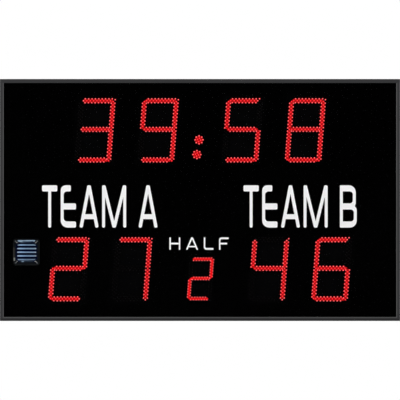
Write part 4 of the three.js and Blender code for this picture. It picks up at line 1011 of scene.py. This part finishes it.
# The top brow wears a painted highlight; the foot brow wears the ledge's painted shade and glint
add_brow("louvre_brow_top", "brow", edge=44.8, height=8.6, front=-1.6, back=0.9, reach=35)
add_brow("louvre_lens_top", "lens", edge=41.0, height=5.0, front=-1.95, back=-1.2, reach=21, shift=6)
add_brow("louvre_brow_foot", "ledge", edge=-42.0, height=-10.6, front=-1.2, back=1.2, reach=33)

MESH_FRONT = LOUVRE_BACK + 0.3
DUST_MESH = [(39.6, 14, MESH_FRONT), (39.6, 14, MESH_FRONT + 0.8)]
lofted("horn_dust_mesh", [corner_loops(DUST_MESH, cut=True)], "navy", "black_plastic")

# Small fasteners: each ring of a head with its shares of the radius and height
HEAD_PROFILE = [(1, 0.0), (1, 0.35), (0.85, 0.8), (0.5, 1.0), (0.42, 0.98), (0.4, 0.45)]


def add_screws(name, heads, radius, height, sides=12):
    """Low domed heads with round sockets, each from its place and the way it points"""
    stacks = []
    for center, direction in heads:
        normal = Vector(direction)
        first = normal.orthogonal().normalized()
        second = normal.cross(first)
        rim = [first * x + second * z for x, z in disc(1, sides=sides)]
        stacks.append([
            [center + (way * radius * size + normal * height * rise) * MM for way in rim]
            for size, rise in HEAD_PROFILE
        ])
    lofted(name, stacks, "steel", "bright_steel")


BACKWARD = (0, 1, 0)
PANEL_INSET = 12
columns = spread(9, HALF_WIDTH - PANEL_INSET)
rows = spread(6, HALF_HEIGHT - PANEL_INSET)
rear_face = depths_of("rear_panel")[1]
places = [(x, z) for x in columns for z in (rows[0], rows[-1])]
places += [(x, z) for z in rows[1:-1] for x in (columns[0], columns[-1])]
panel_heads = [(at(x, rear_face, z), BACKWARD) for x, z in places]
add_screws("rear_panel_screws", panel_heads, radius=3.6, height=2.2)

HANGER_SHEET = 2.5
HANGER_INSET = 30
HANGER_RISE = 12
hanger_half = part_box("hanger_rail")[1].x / MM
hanger_face = depths_of("hanger_rail")[0] + HANGER_SHEET
hanger_z = heights_of("hanger_rail")[0] + HANGER_RISE
hanger_heads = [(at(x, hanger_face, hanger_z), BACKWARD) for x in spread(9, hanger_half - HANGER_INSET)]
add_screws("hanger_rail_screws", hanger_heads, radius=4.2, height=2.6)

CLEAT_SCREW_INSETS = (30, 65)
cleat_depth = middle_depth("corner_cleat_top_left")
frame_heads = []
for sx, sz in CORNERS:
    for inset in CLEAT_SCREW_INSETS:
        frame_heads += [
            (at(sx * HALF_WIDTH, cleat_depth, sz * (HALF_HEIGHT - inset)), (sx, 0, 0)),
            (at(sx * (HALF_WIDTH - inset), cleat_depth, sz * HALF_HEIGHT), (0, 0, sz)),
        ]
add_screws("frame_screws", frame_heads, radius=4.0, height=0.3, sides=16)

# Bay: everything in it stands on the height of the devices' faces
DEVICE_FACE = heights_of("power_inlet")[0]
BAY_MIDDLE = middle_depth("power_switch_housing")

# Inlet pins: the middle one is set forward
PIN_SECTION = rounded(2.3, 5.3, 0.4, steps=2)
PIN_STAGES = [(18, 1), (4.6, 1), (3.8, 0.6)]
PIN_SPACING = 7
PIN_FORWARD = (7.5, 10.5, 7.5)
inlet_x = middle_of("power_inlet")[0]
lofted("inlet_pins", [
    column(PIN_SECTION, inlet_x + step, BAY_MIDDLE - forward, DEVICE_FACE, PIN_STAGES)
    for step, forward in zip(spread(3, PIN_SPACING), PIN_FORWARD)
], "steel", "bright_steel")

# Socket contacts: bent strips, each stage with its depth and rise
CONTACT_REACH = 4.2
CONTACT_SECTION = [(-0.3, 0), (0.3, 0), (0.3, 0.35), (-0.3, 0.35)]
CONTACT_STAGES = [(-4.6, 1.5), (-1.6, 11), (-4.6, 14.5)]
socket_x = middle_of("data_socket")[0]
lofted("socket_contacts", [
    [lying(CONTACT_SECTION, socket_x + step, BAY_MIDDLE + depth, DEVICE_FACE + rise)
     for depth, rise in CONTACT_STAGES]
    for step in spread(8, CONTACT_REACH)
], "gold", "bright_steel")

# Collar round the button: a hexagon with a round bore
COLLAR_REACH = 7.4
COLLAR_CORNER = 0.5
COLLAR_BORE = 4.6
button_x = middle_of("pairing_button")[0]
hexagon = filleted([(x, y, COLLAR_CORNER) for x, y in disc(COLLAR_REACH, sides=6)], steps=2)
bore = [Vector(spot).normalized() * COLLAR_BORE for spot in hexagon]
collar = column(hexagon, button_x, BAY_MIDDLE, DEVICE_FACE, [(-0.05, 1), (-1.3, 1), (-1.6, 0.94)])
collar += column(bore, button_x, BAY_MIDDLE, DEVICE_FACE, [(-1.6, 1), (-0.05, 1)])
lofted("button_collar", [collar], "steel", "bright_steel", closed=True)

# Button: a cap with a dished face, each stage with its rise and radius
cap_low, cap_high = heights_of("pairing_button")
CAP_STAGES = [(cap_high - cap_low, 4), (0.6, 4), (0.18, 3.8), (0, 3.3), (0.1, 2.6), (0.3, 1.2)]
lofted("button_cap", [column(disc(1), button_x, BAY_MIDDLE, cap_low, CAP_STAGES)], "red",
       "switch_red", body="button", stands_for=("pairing_button",))

# Rocker marks follow the slope of its two faces
ROCKER_X = middle_of("power_switch_housing")[0]
ROCKER_PIVOT = DEVICE_FACE + 4
ROCKER_THICK = 4.2
ROCKER_TILT = math.radians(10)
MARK_BACK, MARK_FRONT = -0.05, 0.12
MARK_REACH = 6.6


def on_rocker(outline, lift):
    """An outline on the rocker's faces, in its rest pose"""
    points = []
    for x, depth in outline:
        z = -(ROCKER_THICK + abs(x) * math.tan(ROCKER_TILT)) - lift
        x, z = turned(x, z, ROCKER_TILT)
        points.append(at(ROCKER_X + x, BAY_MIDDLE + depth, ROCKER_PIVOT + z))
    return points


line_mark = rounded(0.9, 5.0, 0.4, MARK_REACH)
outer_ring, inner_ring = (disc(radius, (-MARK_REACH, 0), sides=24) for radius in (2.5, 1.7))
marks = bmesh.new()
loft(marks, [on_rocker(line_mark, lift) for lift in (MARK_BACK, MARK_FRONT)])
loft(marks, [
    on_rocker(outer_ring, MARK_BACK), on_rocker(outer_ring, MARK_FRONT),
    on_rocker(inner_ring, MARK_FRONT), on_rocker(inner_ring, MARK_BACK),
], closed=True)
solid("rocker_marks", marks, "vinyl", "label_white", body="rocker")

# Grip ribs on the drawer
GRIP_SECTION = rounded(16, 0.9, 0.3, steps=2)
GRIP_STAGES = [(0.05, 1), (-0.3, 1), (-0.6, 0.8)]
GRIP_PITCH = 2.4
drawer_x = middle_of("fuse_drawer")[0]
drawer_depth = middle_depth("fuse_drawer")
drawer_low = heights_of("fuse_drawer")[0]
lofted("drawer_grip", [
    column(GRIP_SECTION, drawer_x, drawer_depth + step, drawer_low, GRIP_STAGES)
    for step in spread(3, GRIP_PITCH)
], "black", "black_plastic", body="drawer")

# Rubber edging round the flap's notch
NOTCH_HALF = 16
NOTCH_DEPTH = 12
EDGING_OUT = 1
EDGING_IN = 1.4
EDGING_START = 0.3
EDGING_CORNER = 1.2
EDGING_STAGES = [(-0.35, 1), (2.35, 1)]
outer, outer_depth = NOTCH_HALF + EDGING_OUT, NOTCH_DEPTH + EDGING_OUT
inner, inner_depth = NOTCH_HALF - EDGING_IN, NOTCH_DEPTH - EDGING_IN
u_shape = filleted([(x, depth, EDGING_CORNER) for x, depth in (
    (-outer, EDGING_START), (-outer, outer_depth), (outer, outer_depth), (outer, EDGING_START),
    (inner, EDGING_START), (inner, inner_depth), (-inner, inner_depth), (-inner, EDGING_START),
)], steps=3)
flap_x = middle_of("bay_flap")[0]
flap_front = depths_of("bay_flap")[0]
flap_low = heights_of("bay_flap")[0]
lofted("flap_edging", [column(u_shape, flap_x, flap_front, flap_low, EDGING_STAGES)], "rubber",
       "black_rubber", body="flap")

# Floor
FLOOR_LEVEL = -26.0
FLOOR_REACH = 110.0
floor_mesh = bpy.data.meshes.new("floor")
floor_mesh.from_pydata([
    (x * FLOOR_REACH, y * FLOOR_REACH, FLOOR_LEVEL) for x, y in ((-1, -1), (1, -1), (1, 1), (-1, 1))
], [], [(0, 1, 2, 3)])
floor = add_object("floor", floor_mesh)


# Floor and world look paler on camera, mirror and transmission rays than they light the board
def bare_tree(holder):
    holder.use_nodes = True
    holder.node_tree.nodes.clear()
    return holder.node_tree


def split_rays(tree, output, indirect, direct):
    """Sends one shader out on camera, mirror and transmission rays, and another on the others"""
    path = add_node(tree, "LightPath")
    seen = path.outputs["Is Camera Ray"]
    for ray in ("Is Glossy Ray", "Is Transmission Ray"):
        larger = add_node(tree, "Math")
        larger.operation = "MAXIMUM"
        feed(tree, larger.inputs, seen, path.outputs[ray])
        seen = larger.outputs["Value"]
    mix = add_node(tree, "MixShader")
    feed(tree, mix.inputs, seen, indirect.outputs[0], direct.outputs[0])
    add_node(tree, output, Surface=mix.outputs[0])


floor_material = bpy.data.materials.new("pale_floor")
tree = bare_tree(floor_material)
lighting = add_node(tree, "BsdfDiffuse", Color=(0.75, 0.75, 0.75))
dim = add_node(tree, "BsdfDiffuse", Color=(0.5, 0.5, 0.5))
shine = add_node(tree, "Emission", Strength=0.72)
both = add_node(tree, "AddShader")
feed(tree, both.inputs, dim.outputs[0], shine.outputs[0])
split_rays(tree, "OutputMaterial", lighting, both)
floor_mesh.materials.append(floor_material)

world = bpy.data.worlds.new("studio")
bpy.context.scene.world = world
tree = bare_tree(world)
plain, white = (add_node(tree, "Background", Color=(1, 1, 1), Strength=level) for level in (0.55, 1.0))
split_rays(tree, "OutputWorld", plain, white)

# Lamps
LAMP_TARGET = Vector((0, -0.1, MIDDLE))


def soft_light(name, place, size, level):
    """A large soft lamp aimed at the board, by the brightness that it adds there"""
    data = bpy.data.lights.new(name, "AREA")
    data.shape = "RECTANGLE"
    data.size, data.size_y = size
    way = LAMP_TARGET - Vector(place)
    data.energy = level * math.pi * math.pi * way.length_squared
    lamp = add_object(name, data)
    lamp.location = place
    lamp.rotation_euler = way.to_track_quat("-Z", "Y").to_euler()
    lamp.visible_camera = False


soft_light("key", (-3.4, -3.6, 3.6), (3.0, 2.4), 0.5)
soft_light("fill", (4.2, -3.4, 1.6), (2.6, 2.6), 0.18)
soft_light("back", (2.4, 4.4, 3.2), (3.0, 2.4), 0.45)
